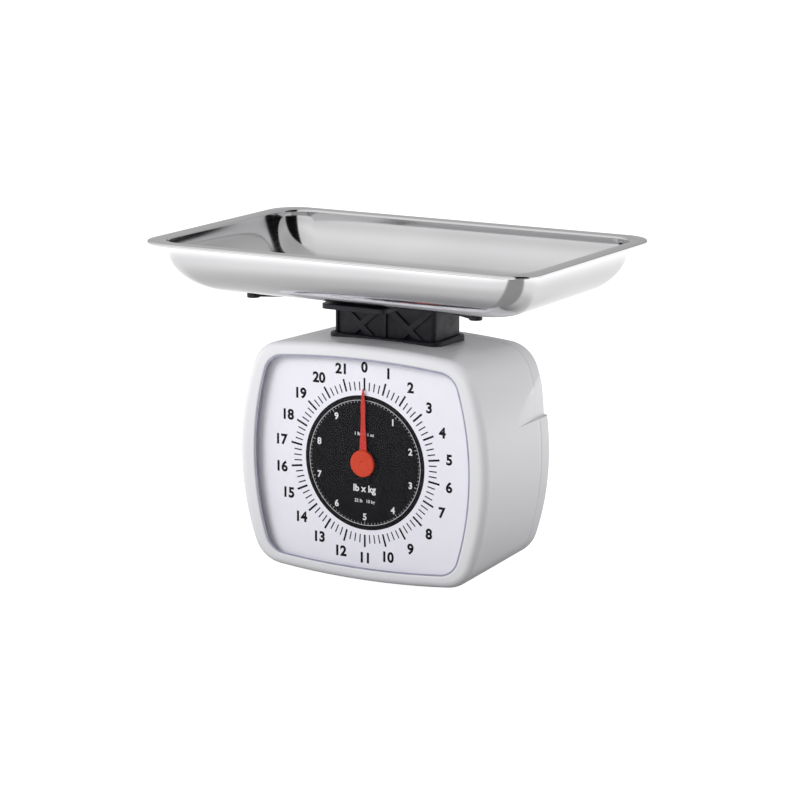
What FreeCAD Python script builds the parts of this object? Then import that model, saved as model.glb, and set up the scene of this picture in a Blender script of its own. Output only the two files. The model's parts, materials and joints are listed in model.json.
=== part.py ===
import FreeCAD, Part
import math
import os
import Sketcher

# Mechanical dial platform scale, in millimetres.
# +X is to the right and -Y is towards the reader of the dial; Z = 0 is the table.

DIMENSIONS = {
    # housing
    "foot_height": 3.0,
    "foot_radius": 7.0,
    "foot_spread": 48.0,
    "foot_head_radius": 3.4,
    "foot_head_top": 2.2,
    "foot_front": 28.0,
    "foot_rear": 22.0,
    "dial_height": 90.25,
    "housing_half_width": 105.0,
    "housing_half_height": 88.25,
    "side_arc": 200.0,
    "top_arc": 700.0,
    "corner_arc": 26.0,
    "front_depth": 55.0,
    "seam_depth": 35.0,
    "rear_depth": 53.0,
    "rear_inset": 3.0,
    "rear_drop": 3.0,
    "rear_rise": 5.0,
    "wall": 3.0,
    "edge_round": 6.5,
    "grip_depth": 5.0,
    "grip_bottom": 118.5,
    "grip_top": 150.0,
    "grip_lean": 0.063,
    "grip_start": 2.0,
    "grip_slack": 0.3,
    "post_spread": 80.0,
    "post_rise": 58.0,
    "post_radius": 5.5,
    "post_length": 30.0,
    "post_rib": 12.5,
    "seam_gap": 0.1,
    "cover_head_radius": 3.4,
    "cover_head_sink": 9.0,
    "screw_radius": 1.7,
    "screw_gap": 0.1,
    "foot_head": 1.35,
    "cover_head": 2.0,
    "dial_head": 1.35,
    "support_head": 1.15,
    "seat_gap": 0.05,
    "slot_half": 0.4,
    "slot_depth": 0.8,
    # window and dial
    "window_half_width": 91.0,
    "window_half_height": 78.5,
    "window_side_arc": 216.0,
    "window_top_arc": 700.0,
    "window_corner": 17.0,
    "bezel_lip": 0.7,
    "lens_ledge": 1.8,
    "lens_gap": 0.3,
    "lens_thick": 1.5,
    "dial_front": 48.0,
    "dial_thick": 1.0,
    "dial_margin": 5.0,
    "dial_screw_spread": 30.0,
    "dial_screw_rise": 22.0,
    "dial_screw_radius": 1.2,
    "dial_boss_radius": 4.0,
    # column and platform
    "column_half_width": 42.7,
    "column_half_depth": 19.5,
    "column_bottom": 150.0,
    "column_corner": 3.0,
    "column_wall": 2.5,
    "column_recess": 2.0,
    "collar_gap": 0.6,
    "collar_width": 3.5,
    "collar_top": 179.5,
    "collar_seat": 174.6,
    "collar_bottom": 169.5,
    "collar_skirt": 1.3,
    "collar_skirt_corner": 5.8,
    "collar_corner": 8.0,
    "collar_edge": 1.2,
    "collar_seat_gap": 0.2,
    "opening_gap": 1.5,
    "opening_corner": 6.0,
    "opening_rim": 6.0,
    "opening_rim_corner": 9.0,
    "rib_half": 2.4,
    "panel_low": 170.0,
    "panel_border": 3.0,
    "support_screw_spread": 22.0,
    "support_screw_depth": 8.0,
    "platform_top": 209.0,
    "platform_thick": 3.5,
    "arm_thick": 2.6,
    "arm_root_thick": 6.0,
    "arm_root_share": 0.5,
    "platform_skin": 2.6,
    "arm_reach_wide": 93.25,
    "arm_reach_deep": 50.5,
    "arm_width": 8.0,
    "arm_end_radius": 4.8,
    "tongue_half_width": 27.0,
    "tongue_reach": 66.3,
    "tongue_corner": 6.0,
    "pad_height": 1.5,
    "pad_radius": 4.2,
    # tray
    "tray_half_length": 162.0,
    "tray_half_width": 104.2,
    "tray_depth": 38.6,
    "tray_sheet": 0.8,
    "tray_wall_round": 36.0,
    "tray_flange": 9.6,
    "tray_corner": 24.0,
    "tray_rim_corner": 24.0,
    "tray_floor_corner": 18.0,
    "tray_hem": 2.4,
    # mechanism
    "travel": 18.85,
    "gear_teeth": 12.0,
    "lever_half_width": 34.0,
    "frame_pivot_y": 36.0,
    "upper_pivot_z": 126.0,
    "lower_pivot_z": 36.0,
    "lever_half_height": 5.0,
    "web_half_depth": 6.0,
    "web_thick": 1.5,
    "ear_half_height": 9.0,
    "ear_depth": 6.0,
    "pin_radius": 2.0,
    "slot_gap": 0.35,
    "sheet": 1.5,
    "base_plate": 12.0,
    "front_upright_top": 120.0,
    "frame_shelf_half": 12.0,
    "stop_y": 10.0,
    "frame_half_width": 39.0,
    "frame_front": 45.5,
    "frame_rear": 46.5,
    "frame_top": 142.5,
    "carrier_half_width": 31.0,
    "carrier_front": 14.0,
    "carrier_width": 11.0,
    "carrier_floor": 36.5,
    "cross_bar_low": 120.0,
    "backlash": 0.14,
    "rack_back": 8.0,
    "rack_front": 11.5,
    "rack_width": 6.0,
    "rack_pin_radius": 1.4,
    "rack_pin_x": 5.8,
    "rack_pin_z": 126.0,
    "pinion_front": 12.5,
    "pinion_width": 8.0,
    "shaft_radius": 1.5,
    "bush_radius": 3.2,
    "bush_gap": 0.05,
    "hub_radius": 10.0,
    "cap_thick": 1.8,
    "pointer_front": 50.4,
    "pointer_thick": 0.7,
    "needle_reach": 55.7,
    "needle_root_half": 3.75,
    "needle_tip_half": 2.25,
    "needle_point": 3.0,
    "needle_disc": 8.5,
    "cap_edge": 1.0,
    "cap_skin": 0.6,
    "shaft_collar_radius": 4.0,
    "shaft_collar_thick": 3.0,
    "spring_y": 29.0,
    "spring_half_gap": 14.0,
    "spring_radius": 6.0,
    "wire": 2.0,
    "spring_tail": 9.0,
    "spring_turns": 18.0,
    "bead_out": 1.2,
    "bead_thick": 2.4,
    "hanger_z": 130.0,
    "hanger_thick": 3.0,
    "wheel_y": 39.5,
    "wheel_radius": 16.0,
    "wheel_thick": 6.0,
    "wheel_gap": 0.5,
    "flute_radius": 1.1,
    "flute_out": 0.5,
    "wheel_slot_half": 15.0,
    "thread_radius": 2.0,
}

doc = FreeCAD.newDocument("platform_scale")
sheet = doc.addObject("Spreadsheet::Sheet", "Sheet")


class Size:
    """A number together with the spreadsheet expression that it comes from."""

    def __init__(self, value, text=None):
        self.value = float(value)
        self.text = repr(float(value)) if text is None else text

    def combine(self, other, sign, value):
        return Size(value, "(%s %s %s)" % (self.text, sign, other.text))

    def __add__(self, other):
        other = size(other)
        return self.combine(other, "+", self.value + other.value)

    def __sub__(self, other):
        other = size(other)
        return self.combine(other, "-", self.value - other.value)

    def __mul__(self, other):
        other = size(other)
        return self.combine(other, "*", self.value * other.value)

    def __truediv__(self, other):
        other = size(other)
        return self.combine(other, "/", self.value / other.value)

    def __rsub__(self, other):
        return size(other) - self

    def __neg__(self):
        return size(0) - self

    __radd__ = __add__
    __rmul__ = __mul__


def size(number):
    return number if isinstance(number, Size) else Size(number)


def root(number):
    return Size(math.sqrt(number.value), "sqrt(%s)" % number.text)


class Sheet:
    """The driving dimensions, each a Size bound to its own cell."""

    def __init__(self):
        for row, (alias, value) in enumerate(DIMENSIONS.items(), 1):
            sheet.set("A%d" % row, alias)
            sheet.set("B%d" % row, str(value))
            sheet.setAlias("B%d" % row, alias)
            setattr(self, alias, Size(value, "Sheet." + alias))
        doc.recompute()


D = Sheet()
PARTS = []


def bind(thing, **properties):
    """Bind each property (a double underscore stands for a dot) to its expression."""
    for name, value in properties.items():
        thing.setExpression(name.replace("__", "."), size(value).text)


def keep(thing, label):
    """Register a finished sub-part under its own label."""
    thing.Label = label
    PARTS.append(thing)
    return thing


def bind_place(thing, x=0, y=0, z=0):
    bind(thing, Placement__Base__x=x, Placement__Base__y=y, Placement__Base__z=z)


def turned(axis, angle=90):
    return FreeCAD.Placement(FreeCAD.Vector(), FreeCAD.Rotation(FreeCAD.Vector(*axis), angle))


# ---------------------------------------------------------------- solid primitives

def box(x, y, z):
    """A block between the low and high of each of its three pairs."""
    block = doc.addObject("Part::Box", "block")
    bind(block, Length=x[1] - size(x[0]), Width=y[1] - size(y[0]), Height=z[1] - size(z[0]))
    bind_place(block, x[0], y[0], z[0])
    return block


def mirrored_box(x, y, z):
    """A block on the right and its twin on the left."""
    return [box(x, y, z), box((-size(x[1]), -size(x[0])), y, z)]


def rod(axis, radius, low, high, a=0, b=0):
    """A cylinder along an axis from low to high, with a and b its other two coordinates."""
    cylinder = doc.addObject("Part::Cylinder", "rod")
    if axis == "x":
        cylinder.Placement = turned((0, 1, 0))
        bind_place(cylinder, low, a, b)
    elif axis == "y":
        cylinder.Placement = turned((1, 0, 0), -90)
        bind_place(cylinder, a, low, b)
    else:
        bind_place(cylinder, a, b, low)
    bind(cylinder, Radius=radius, Height=high - size(low))
    return cylinder


def cone(axis, radii, low, high, a=0, b=0):
    """A cone frustum along y or z, its first radius at low and its second at high."""
    frustum = doc.addObject("Part::Cone", "frustum")
    if axis == "y":
        frustum.Placement = turned((1, 0, 0), -90)
        bind_place(frustum, a, low, b)
    else:
        bind_place(frustum, a, b, low)
    bind(frustum, Radius1=radii[0], Radius2=radii[1], Height=high - size(low))
    return frustum


def fuse(shapes):
    if len(shapes) == 1:
        return shapes[0]
    union = doc.addObject("Part::MultiFuse", "union")
    union.Shapes = shapes
    union.Refine = True
    return union


def cut(base, tools):
    difference = doc.addObject("Part::Cut", "difference")
    difference.Base = base
    difference.Tool = fuse(tools)
    difference.Refine = True
    return difference


def group(shapes):
    """Separate identical solids that share one node."""
    compound = doc.addObject("Part::Compound", "group")
    compound.Links = shapes
    return compound


# ---------------------------------------------------------------- sketches and bodies

def new_body(label):
    body = doc.addObject("PartDesign::Body", label)
    return keep(body, label)


def sketch_on(body, role, offset=0):
    """A sketch on one of the body's own origin planes, moved along the plane's normal."""
    sketch = body.newObject("Sketcher::SketchObject", "sketch")
    plane = next(item for item in body.Origin.OriginFeatures if item.Role == role)
    sketch.AttachmentSupport = (plane, [""])
    sketch.MapMode = "FlatFace"
    bind(sketch, AttachmentOffset__Base__z=offset)
    return sketch


def name_last(sketch, number, value):
    """Bind the constraint of that number to a size."""
    name = "size%d" % number
    sketch.renameConstraint(number, name)
    sketch.setExpression("Constraints." + name, size(value).text)


def pin_point(sketch, curve, end, x, y):
    """Hold a curve's end (1 start, 2 end, 3 centre) at a point of the sketch."""
    for kind, value in (("DistanceX", size(x)), ("DistanceY", size(y))):
        constraint = Sketcher.Constraint(kind, -1, 1, curve, end, value.value)
        name_last(sketch, sketch.addConstraint(constraint), value)


def polygon(sketch, points):
    """A closed outline of straight edges through the given points."""
    corners = [FreeCAD.Vector(size(x).value, size(y).value, 0) for x, y in points]
    first = sketch.GeometryCount
    count = len(corners)
    for index in range(count):
        line = Part.LineSegment(corners[index], corners[(index + 1) % count])
        sketch.addGeometry(line, False)
    for index in range(count):
        after = first + (index + 1) % count
        sketch.addConstraint(Sketcher.Constraint("Coincident", first + index, 2, after, 1))
    for index, (x, y) in enumerate(points):
        pin_point(sketch, first + index, 1, x, y)


def circle(sketch, x, y, radius):
    centre = FreeCAD.Vector(size(x).value, size(y).value, 0)
    curve = sketch.addGeometry(Part.Circle(centre, FreeCAD.Vector(0, 0, 1), size(radius).value))
    pin_point(sketch, curve, 3, x, y)
    constraint = Sketcher.Constraint("Radius", curve, size(radius).value)
    name_last(sketch, sketch.addConstraint(constraint), radius)


def arc_between(centre, radius, start, end):
    """A counter-clockwise arc about a centre from one point to another."""
    angles = [math.atan2(point[1] - centre[1], point[0] - centre[0]) for point in (start, end)]
    if angles[1] < angles[0]:
        angles[1] += 2 * math.pi
    whole = Part.Circle(FreeCAD.Vector(centre[0], centre[1], 0), FreeCAD.Vector(0, 0, 1), radius)
    return Part.ArcOfCircle(whole, angles[0], angles[1])


def corner_centre(side, side_reach, top, top_reach):
    """Where circles about the side arc's and the top arc's centres meet, up and right."""
    gap = math.dist(side, top)
    along = (side_reach ** 2 - top_reach ** 2 + gap ** 2) / (2 * gap)
    across = math.sqrt(side_reach ** 2 - along ** 2)
    unit = ((top[0] - side[0]) / gap, (top[1] - side[1]) / gap)
    return (side[0] + along * unit[0] - across * unit[1],
            side[1] + along * unit[1] + across * unit[0])


def beyond(centre, through, reach):
    """The point at a distance from a centre, in the direction of another point."""
    gap = math.dist(centre, through)
    return tuple(c + (p - c) * reach / gap for c, p in zip(centre, through))


def pillow(sketch, half_width, half_height, centre, side_arc, top_arc, corner_arc):
    """A rounded square with four bowed sides: eight arcs, each tangent to the next."""
    wide, tall, level = half_width.value, half_height.value, centre.value
    side_r, top_r, corner_r = side_arc.value, top_arc.value, corner_arc.value
    side = (wide - side_r, 0.0)
    top = (0.0, tall - top_r)
    corner = corner_centre(side, side_r - corner_r, top, top_r - corner_r)
    on_side = beyond(side, corner, side_r)
    on_top = beyond(top, corner, top_r)

    def at(point, flip_x, flip_y):
        return (point[0] * flip_x, level + point[1] * flip_y)

    arcs = [
        (at(side, 1, 1), side_r, at(on_side, 1, -1), at(on_side, 1, 1)),
        (at(corner, 1, 1), corner_r, at(on_side, 1, 1), at(on_top, 1, 1)),
        (at(top, 1, 1), top_r, at(on_top, 1, 1), at(on_top, -1, 1)),
        (at(corner, -1, 1), corner_r, at(on_top, -1, 1), at(on_side, -1, 1)),
        (at(side, -1, 1), side_r, at(on_side, -1, 1), at(on_side, -1, -1)),
        (at(corner, -1, -1), corner_r, at(on_side, -1, -1), at(on_top, -1, -1)),
        (at(top, 1, -1), top_r, at(on_top, -1, -1), at(on_top, 1, -1)),
        (at(corner, 1, -1), corner_r, at(on_top, 1, -1), at(on_side, 1, -1)),
    ]
    for arc in arcs:
        sketch.addGeometry(arc_between(*arc), False)
    for index in range(8):
        after = (index + 1) % 8
        sketch.addConstraint(Sketcher.Constraint("Tangent", index, 2, after, 1))
    radii = [side_arc, corner_arc, top_arc, corner_arc] * 2
    for index, radius in enumerate(radii):
        constraint = Sketcher.Constraint("Radius", index, radius.value)
        name_last(sketch, sketch.addConstraint(constraint), radius)
    pin_point(sketch, 0, 3, half_width - side_arc, centre)
    pin_point(sketch, 4, 3, side_arc - half_width, centre)
    pin_point(sketch, 2, 3, 0, centre + half_height - top_arc)
    pin_point(sketch, 6, 3, 0, centre - half_height + top_arc)


def rounded_rectangle(sketch, half_x, half_y, radius):
    """Four straight edges joined by quarter arcs, centred on the sketch's origin."""
    half_x, half_y, radius = size(half_x), size(half_y), size(radius)
    inner_x, inner_y = half_x - radius, half_y - radius
    ends = [
        ((half_x, -inner_y), (half_x, inner_y)),
        ((inner_x, half_y), (-inner_x, half_y)),
        ((-half_x, inner_y), (-half_x, -inner_y)),
        ((-inner_x, -half_y), (inner_x, -half_y)),
    ]
    centres = [(1, 1), (-1, 1), (-1, -1), (1, -1)]
    first = sketch.GeometryCount
    for index, (start, end) in enumerate(ends):
        start_at = (size(start[0]).value, size(start[1]).value)
        end_at = (size(end[0]).value, size(end[1]).value)
        following = ends[(index + 1) % 4][0]
        next_at = (size(following[0]).value, size(following[1]).value)
        centre = (centres[index][0] * inner_x.value, centres[index][1] * inner_y.value)
        line = Part.LineSegment(FreeCAD.Vector(*start_at, 0), FreeCAD.Vector(*end_at, 0))
        sketch.addGeometry(line, False)
        sketch.addGeometry(arc_between(centre, radius.value, end_at, next_at), False)
    for index in range(8):
        after = first + (index + 1) % 8
        sketch.addConstraint(Sketcher.Constraint("Coincident", first + index, 2, after, 1))
    for index, (start, end) in enumerate(ends):
        pin_point(sketch, first + 2 * index, 1, *start)
        pin_point(sketch, first + 2 * index, 2, *end)
        constraint = Sketcher.Constraint("Radius", first + 2 * index + 1, radius.value)
        name_last(sketch, sketch.addConstraint(constraint), radius)


def pad(body, sketch, length, reverse=False):
    feature = body.newObject("PartDesign::Pad", "pad")
    feature.Profile = sketch
    feature.Reversed = reverse
    bind(feature, Length=length)
    return feature


def pocket(body, sketch, length, reverse=False):
    feature = body.newObject("PartDesign::Pocket", "pocket")
    feature.Profile = sketch
    feature.Reversed = reverse
    bind(feature, Length=length)
    return feature


def loft(body, kind, sections):
    feature = body.newObject("PartDesign::" + kind, "loft")
    feature.Profile = sections[0]
    feature.Sections = sections[1:]
    feature.Ruled = len(sections) == 2
    return feature


def round_edges(body, radius, wanted):
    """Fillet the edges of the body's last feature that the test accepts."""
    doc.recompute()
    base = body.Tip
    names = ["Edge%d" % (number + 1) for number, edge in enumerate(base.Shape.Edges)
             if wanted(edge)]
    feature = body.newObject("PartDesign::Fillet", "fillet")
    feature.Base = (base, names)
    bind(feature, Radius=radius)
    return feature


def lies_at(edge, axis, value):
    """Whether both ends and the middle of an edge have this coordinate."""
    middle = edge.valueAt((edge.FirstParameter + edge.LastParameter) / 2)
    points = [vertex.Point for vertex in edge.Vertexes] + [middle]
    return all(abs(point[axis] - value) < 1e-3 for point in points)


# ---------------------------------------------------------------- housing

TAPER_LENGTH = D.front_depth + D.rear_depth


def housing_outline(body, y, inset):
    """The housing's outline at depth y, drawn in by an inset; it tapers to the rear."""
    share = (y + D.front_depth) / TAPER_LENGTH
    sketch = sketch_on(body, "XZ_Plane", -y)
    pillow(
        sketch,
        D.housing_half_width - inset - D.rear_inset * share,
        D.housing_half_height - inset - (D.rear_drop + D.rear_rise) / 2 * share,
        D.dial_height + (D.rear_rise - D.rear_drop) / 2 * share,
        D.side_arc - inset,
        D.top_arc - inset,
        D.corner_arc - inset,
    )
    return sketch


def window_outline(body, y, outset):
    """The window's outline at depth y, grown by an outset."""
    sketch = sketch_on(body, "XZ_Plane", -y)
    pillow(
        sketch,
        D.window_half_width + outset,
        D.window_half_height + outset,
        D.dial_height,
        D.window_side_arc + outset,
        D.window_top_arc + outset,
        D.window_corner + outset,
    )
    return sketch


def post_places():
    """Centres, in X and Z, of the four screw posts that hold the rear cover."""
    for side in (1, -1):
        for rise in (1, -1):
            yield D.post_spread * side, D.dial_height + D.post_rise * rise


def foot_places():
    for side in (1, -1):
        for y in (-D.foot_front, D.foot_rear):
            yield D.foot_spread * side, y


def skin_reach(y, z):
    """How far out the housing's side stands at a depth and a height."""
    share = (y + D.front_depth) / TAPER_LENGTH
    rise = z - D.dial_height
    bow = D.side_arc - root(D.side_arc * D.side_arc - rise * rise)
    return D.housing_half_width - D.rear_inset * share - bow


def grip_reach(y, z):
    """How far out a hand grip's flat face stands; it sinks in towards the rear."""
    sunk = D.grip_depth * y / D.rear_depth + (z - D.grip_bottom) * D.grip_lean
    return skin_reach(y, D.grip_bottom) - sunk


def grip_outline(body, y, side):
    """What a hand grip removes at depth y: all that stands outside its flat face."""
    low, high = D.grip_bottom, D.housing_half_height * 2
    outside = D.housing_half_width + D.wall
    corners = [(grip_reach(y, low), low), (grip_reach(y, high), high), (outside, high),
               (outside, low)]
    sketch = sketch_on(body, "XZ_Plane", -y)
    polygon(sketch, [(x * side, z) for x, z in corners])
    return sketch


def grip_backing_outline(body, y, side):
    """The wall behind a hand grip at depth y, thickened inwards."""
    low, high = D.grip_bottom - D.wall, D.grip_top
    corners = [
        (skin_reach(y, low) - D.wall / 2, low),
        (grip_reach(y, D.grip_bottom) - D.wall - D.grip_slack, low),
        (skin_reach(y, high) - D.wall - D.grip_slack, high),
        (skin_reach(y, high) - D.wall / 2, high),
    ]
    sketch = sketch_on(body, "XZ_Plane", -y)
    polygon(sketch, [(x * side, z) for x, z in corners])
    return sketch


def sink_grips(body, low, high, inside):
    """Both hand grips between two depths, with a thicker wall behind them up to inside."""
    for side in (1, -1):
        loft(body, "AdditiveLoft", [grip_backing_outline(body, low, side),
                                    grip_backing_outline(body, inside, side)])
        loft(body, "SubtractiveLoft",
             [grip_outline(body, low - 1, side), grip_outline(body, high + 1, side)])


def rounded_end(body, flat, towards):
    """The housing's rounded rim, from its flat end face; towards is 1 to the rear, else -1."""
    sections = []
    for step in range(5):
        angle = math.radians(90 * step / 4)
        depth = flat + D.edge_round * (1 - math.cos(angle)) * towards
        inset = D.edge_round * (1 - math.sin(angle))
        sections.append(housing_outline(body, depth, inset))
    loft(body, "AdditiveLoft", sections)
    return flat + D.edge_round * towards


def build_front_housing():
    body = new_body("front_housing")
    front, seam = -D.front_depth, D.seam_depth
    inner = front + D.wall
    rim = rounded_end(body, front, 1)
    loft(body, "AdditiveLoft", [housing_outline(body, rim, 0), housing_outline(body, seam, 0)])
    loft(body, "SubtractiveLoft",
         [housing_outline(body, inner, D.wall), housing_outline(body, seam + 1, D.wall)])
    pocket(body, window_outline(body, front - 1, 0), D.wall + 2)
    pocket(body, window_outline(body, front + D.bezel_lip, D.lens_ledge), D.wall)
    inner_x, inner_y = D.column_half_width + D.collar_gap, D.column_half_depth + D.collar_gap
    rim = sketch_on(body, "XY_Plane", D.collar_bottom)
    rounded_rectangle(rim, inner_x + D.opening_rim, inner_y + D.opening_rim, D.opening_rim_corner)
    pad(body, rim, D.collar_seat - D.collar_bottom)
    seat = sketch_on(body, "XY_Plane", D.collar_seat)
    margin = D.collar_width + D.collar_seat_gap
    rounded_rectangle(seat, inner_x + margin, inner_y + margin,
                      D.collar_corner + D.collar_seat_gap)
    pocket(body, seat, 10, reverse=True)
    opening = sketch_on(body, "XY_Plane", D.collar_bottom - 1)
    rounded_rectangle(opening, inner_x + D.opening_gap, inner_y + D.opening_gap, D.opening_corner)
    pocket(body, opening, 10, reverse=True)
    boss_bottom = D.foot_height
    for x, y in foot_places():
        sketch = sketch_on(body, "XY_Plane", boss_bottom)
        circle(sketch, x, y, D.foot_radius + 0.5)
        pad(body, sketch, D.base_plate - boss_bottom)
        hole = sketch_on(body, "XY_Plane", D.base_plate + 1)
        circle(hole, x, y, D.screw_radius + D.screw_gap)
        pocket(body, hole, D.base_plate)
    for x, z in post_places():
        post = sketch_on(body, "XZ_Plane", -seam)
        circle(post, x, z, D.post_radius)
        pad(body, post, D.post_length)
        rib = sketch_on(body, "XZ_Plane", -seam)
        reach = D.post_rib if x.value > 0 else -D.post_rib
        half = D.sheet
        polygon(rib, [(x, z - half), (x + reach, z - half), (x + reach, z + half), (x, z + half)])
        pad(body, rib, D.post_length)
        hole = sketch_on(body, "XZ_Plane", -seam - 1)
        circle(hole, x, z, D.screw_radius + D.screw_gap)
        pocket(body, hole, D.post_length - 5, reverse=True)
    sink_grips(body, -D.grip_start, seam, seam)


def build_rear_cover():
    body = new_body("rear_cover")
    seam, rear = D.seam_depth + D.seam_gap, D.rear_depth
    rim = rounded_end(body, rear, -1)
    loft(body, "AdditiveLoft", [housing_outline(body, seam, 0), housing_outline(body, rim, 0)])
    inside = rear - D.wall
    loft(body, "SubtractiveLoft",
         [housing_outline(body, seam - 1, D.wall), housing_outline(body, inside, D.wall)])
    for x, z in post_places():
        post = sketch_on(body, "XZ_Plane", -seam)
        circle(post, x, z, D.post_radius)
        pad(body, post, inside - seam + 1, reverse=True)
        hole = sketch_on(body, "XZ_Plane", -rear - 1)
        circle(hole, x, z, D.screw_radius + D.screw_gap)
        pocket(body, hole, D.rear_depth, reverse=True)
        recess = sketch_on(body, "XZ_Plane", -rear - 1)
        circle(recess, x, z, D.cover_head_radius + 0.4)
        pocket(body, recess, D.cover_head_sink + 1, reverse=True)
    wheel_low = D.frame_top + D.wheel_gap - 1
    wheel_high = wheel_low + D.wheel_thick + 2
    slot = sketch_on(body, "XZ_Plane", -rear - 1)
    half = D.wheel_slot_half
    polygon(slot, [(-half, wheel_low), (half, wheel_low), (half, wheel_high), (-half, wheel_high)])
    pocket(body, slot, D.wall + 2, reverse=True)
    sink_grips(body, seam, rear, inside)


def build_lens():
    body = new_body("lens")
    front = D.bezel_lip - D.front_depth
    pad(body, window_outline(body, front, D.lens_ledge - D.lens_gap), D.lens_thick, reverse=True)


def dial_screw_places():
    for side in (1, -1):
        for rise in (1, -1):
            yield D.dial_screw_spread * side, D.dial_height + D.dial_screw_rise * rise


def build_dial_plate():
    body = new_body("dial_plate")
    outline = window_outline(body, -D.dial_front, D.dial_margin)
    pad(body, outline, D.dial_thick, reverse=True)
    back = D.dial_thick - D.dial_front
    for x, z in dial_screw_places():
        boss = sketch_on(body, "XZ_Plane", -back)
        circle(boss, x, z, D.dial_boss_radius)
        pad(body, boss, D.dial_front - D.dial_thick - D.frame_front, reverse=True)
        hole = sketch_on(body, "XZ_Plane", D.frame_front)
        circle(hole, x, z, D.dial_screw_radius + D.screw_gap)
        pocket(body, hole, D.dial_front - D.frame_front - 0.5, reverse=True)
    eye = sketch_on(body, "XZ_Plane", D.dial_front + 1)
    circle(eye, 0, D.dial_height, D.bush_radius + D.screw_gap)
    pocket(body, eye, D.dial_thick + 2)


def build_column_collar():
    body = new_body("column_collar")
    inner_x, inner_y = D.column_half_width + D.collar_gap, D.column_half_depth + D.collar_gap
    skirt = sketch_on(body, "XY_Plane", D.collar_bottom)
    rounded_rectangle(skirt, inner_x + D.collar_skirt, inner_y + D.collar_skirt,
                      D.collar_skirt_corner)
    pad(body, skirt, D.collar_top - D.collar_bottom)
    flange = sketch_on(body, "XY_Plane", D.collar_seat)
    rounded_rectangle(flange, inner_x + D.collar_width, inner_y + D.collar_width,
                      D.collar_corner)
    pad(body, flange, D.collar_top - D.collar_seat)
    round_edges(body, D.collar_edge, lambda edge: lies_at(edge, 2, D.collar_top.value))
    hole = sketch_on(body, "XY_Plane", D.collar_top + 1)
    rounded_rectangle(hole, inner_x, inner_y, D.column_corner + D.collar_gap)
    pocket(body, hole, D.collar_top - D.collar_bottom + 2)


# ---------------------------------------------------------------- frame and fixings

def build_feet():
    feet = []
    for x, y in foot_places():
        block = rod("z", D.foot_radius, 0, D.foot_height, x, y)
        sink = rod("z", D.foot_head_radius + 0.3, -1, D.foot_head_top, x, y)
        hole = rod("z", D.screw_radius + D.screw_gap, -1, D.foot_height + 1, x, y)
        feet.append(cut(block, [sink, hole]))
    keep(group(feet), "rubber_feet")


SLOT_SHARE = 0.6


def build_foot_screws():
    screws = []
    for x, y in foot_places():
        seat = D.foot_head_top - D.seat_gap
        face = seat - D.foot_head
        reach = D.foot_head_radius * SLOT_SHARE
        head = rod("z", D.foot_head_radius, face, seat, x, y)
        shank = rod("z", D.screw_radius, seat - D.slot_half, D.base_plate + 3, x, y)
        cross = box((x - D.slot_half, x + D.slot_half), (y - reach, y + reach),
                    (0, face + D.slot_depth))
        screws.append(cut(fuse([head, shank]), [cross]))
    keep(group(screws), "foot_screws")


def build_cover_screws():
    screws = []
    bottom = D.rear_depth - D.cover_head_sink
    for x, z in post_places():
        face = bottom + D.cover_head
        reach = D.cover_head_radius * SLOT_SHARE
        head = rod("y", D.cover_head_radius, bottom + D.seat_gap, face, x, z)
        shank = rod("y", D.screw_radius, D.seam_depth - 12, bottom + 1, x, z)
        cross = box((x - D.slot_half, x + D.slot_half), (face - D.slot_depth, face + 1),
                    (z - reach, z + reach))
        screws.append(cut(fuse([head, shank]), [cross]))
    keep(group(screws), "cover_screws")


def build_dial_screws():
    screws = []
    back = D.sheet - D.frame_front
    for x, z in dial_screw_places():
        face = back + D.seat_gap + D.dial_head
        reach = D.dial_screw_radius * 2 * SLOT_SHARE
        head = rod("y", D.dial_screw_radius * 2, back + D.seat_gap, face, x, z)
        shank = rod("y", D.dial_screw_radius, D.dial_thick - D.dial_front, back + 0.5, x, z)
        cross = box((x - D.slot_half, x + D.slot_half), (face - D.slot_depth / 2, face + 1),
                    (z - reach, z + reach))
        screws.append(cut(fuse([head, shank]), [cross]))
    keep(group(screws), "dial_screws")


def build_chassis():
    """Stamped steel frame: a base plate with a front and a rear upright and lever ears."""
    half = D.frame_half_width
    low, high = D.base_plate, D.base_plate + D.sheet
    front, rear = -D.frame_front, D.frame_rear
    bars = [
        box((-half, half), (front, rear), (low, high)),
        box((-half, half), (front, front + D.sheet), (low, D.front_upright_top)),
        box((-half, half), (rear - D.sheet, rear), (low, D.frame_top)),
        box((-D.frame_shelf_half, D.frame_shelf_half),
            (D.wheel_y - 8, rear), (D.frame_top - D.sheet, D.frame_top)),
    ]
    for y in (-D.foot_front, D.foot_rear):
        reach = D.foot_spread + 7
        bars.append(box((-reach, reach), (y - 7, y + 7), (low, high)))
    for pivot in (D.upper_pivot_z, D.lower_pivot_z):
        bars += mirrored_box((half - D.sheet, half), (D.frame_pivot_y - D.ear_depth, rear),
                             (pivot - D.ear_half_height, pivot + D.ear_half_height))
    holes = [
        rod("y", D.bush_radius, front - 1, front + 3, 0, D.dial_height),
        rod("y", D.bush_radius, rear - 3, rear + 1, 0, D.dial_height),
        rod("z", D.thread_radius + 0.3, D.frame_top - 3, D.frame_top + 1, 0, D.wheel_y),
        box((-24, 24), (front - 1, front + 3), (low + 12, D.dial_height - 42)),
        box((-24, 24), (rear - 3, rear + 1), (low + 12, D.dial_height - 14)),
    ]
    for x, y in foot_places():
        holes.append(rod("z", D.screw_radius + 0.02, low - 1, high + 1, x, y))
    for x, z in dial_screw_places():
        holes.append(rod("y", D.dial_screw_radius + D.screw_gap, front - 1, front + 3, x, z))
    for pivot in (D.upper_pivot_z, D.lower_pivot_z):
        holes.append(rod("x", D.pin_radius, -half - 1, half + 1, D.frame_pivot_y, pivot))
    keep(cut(fuse(bars), holes), "chassis")


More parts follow.
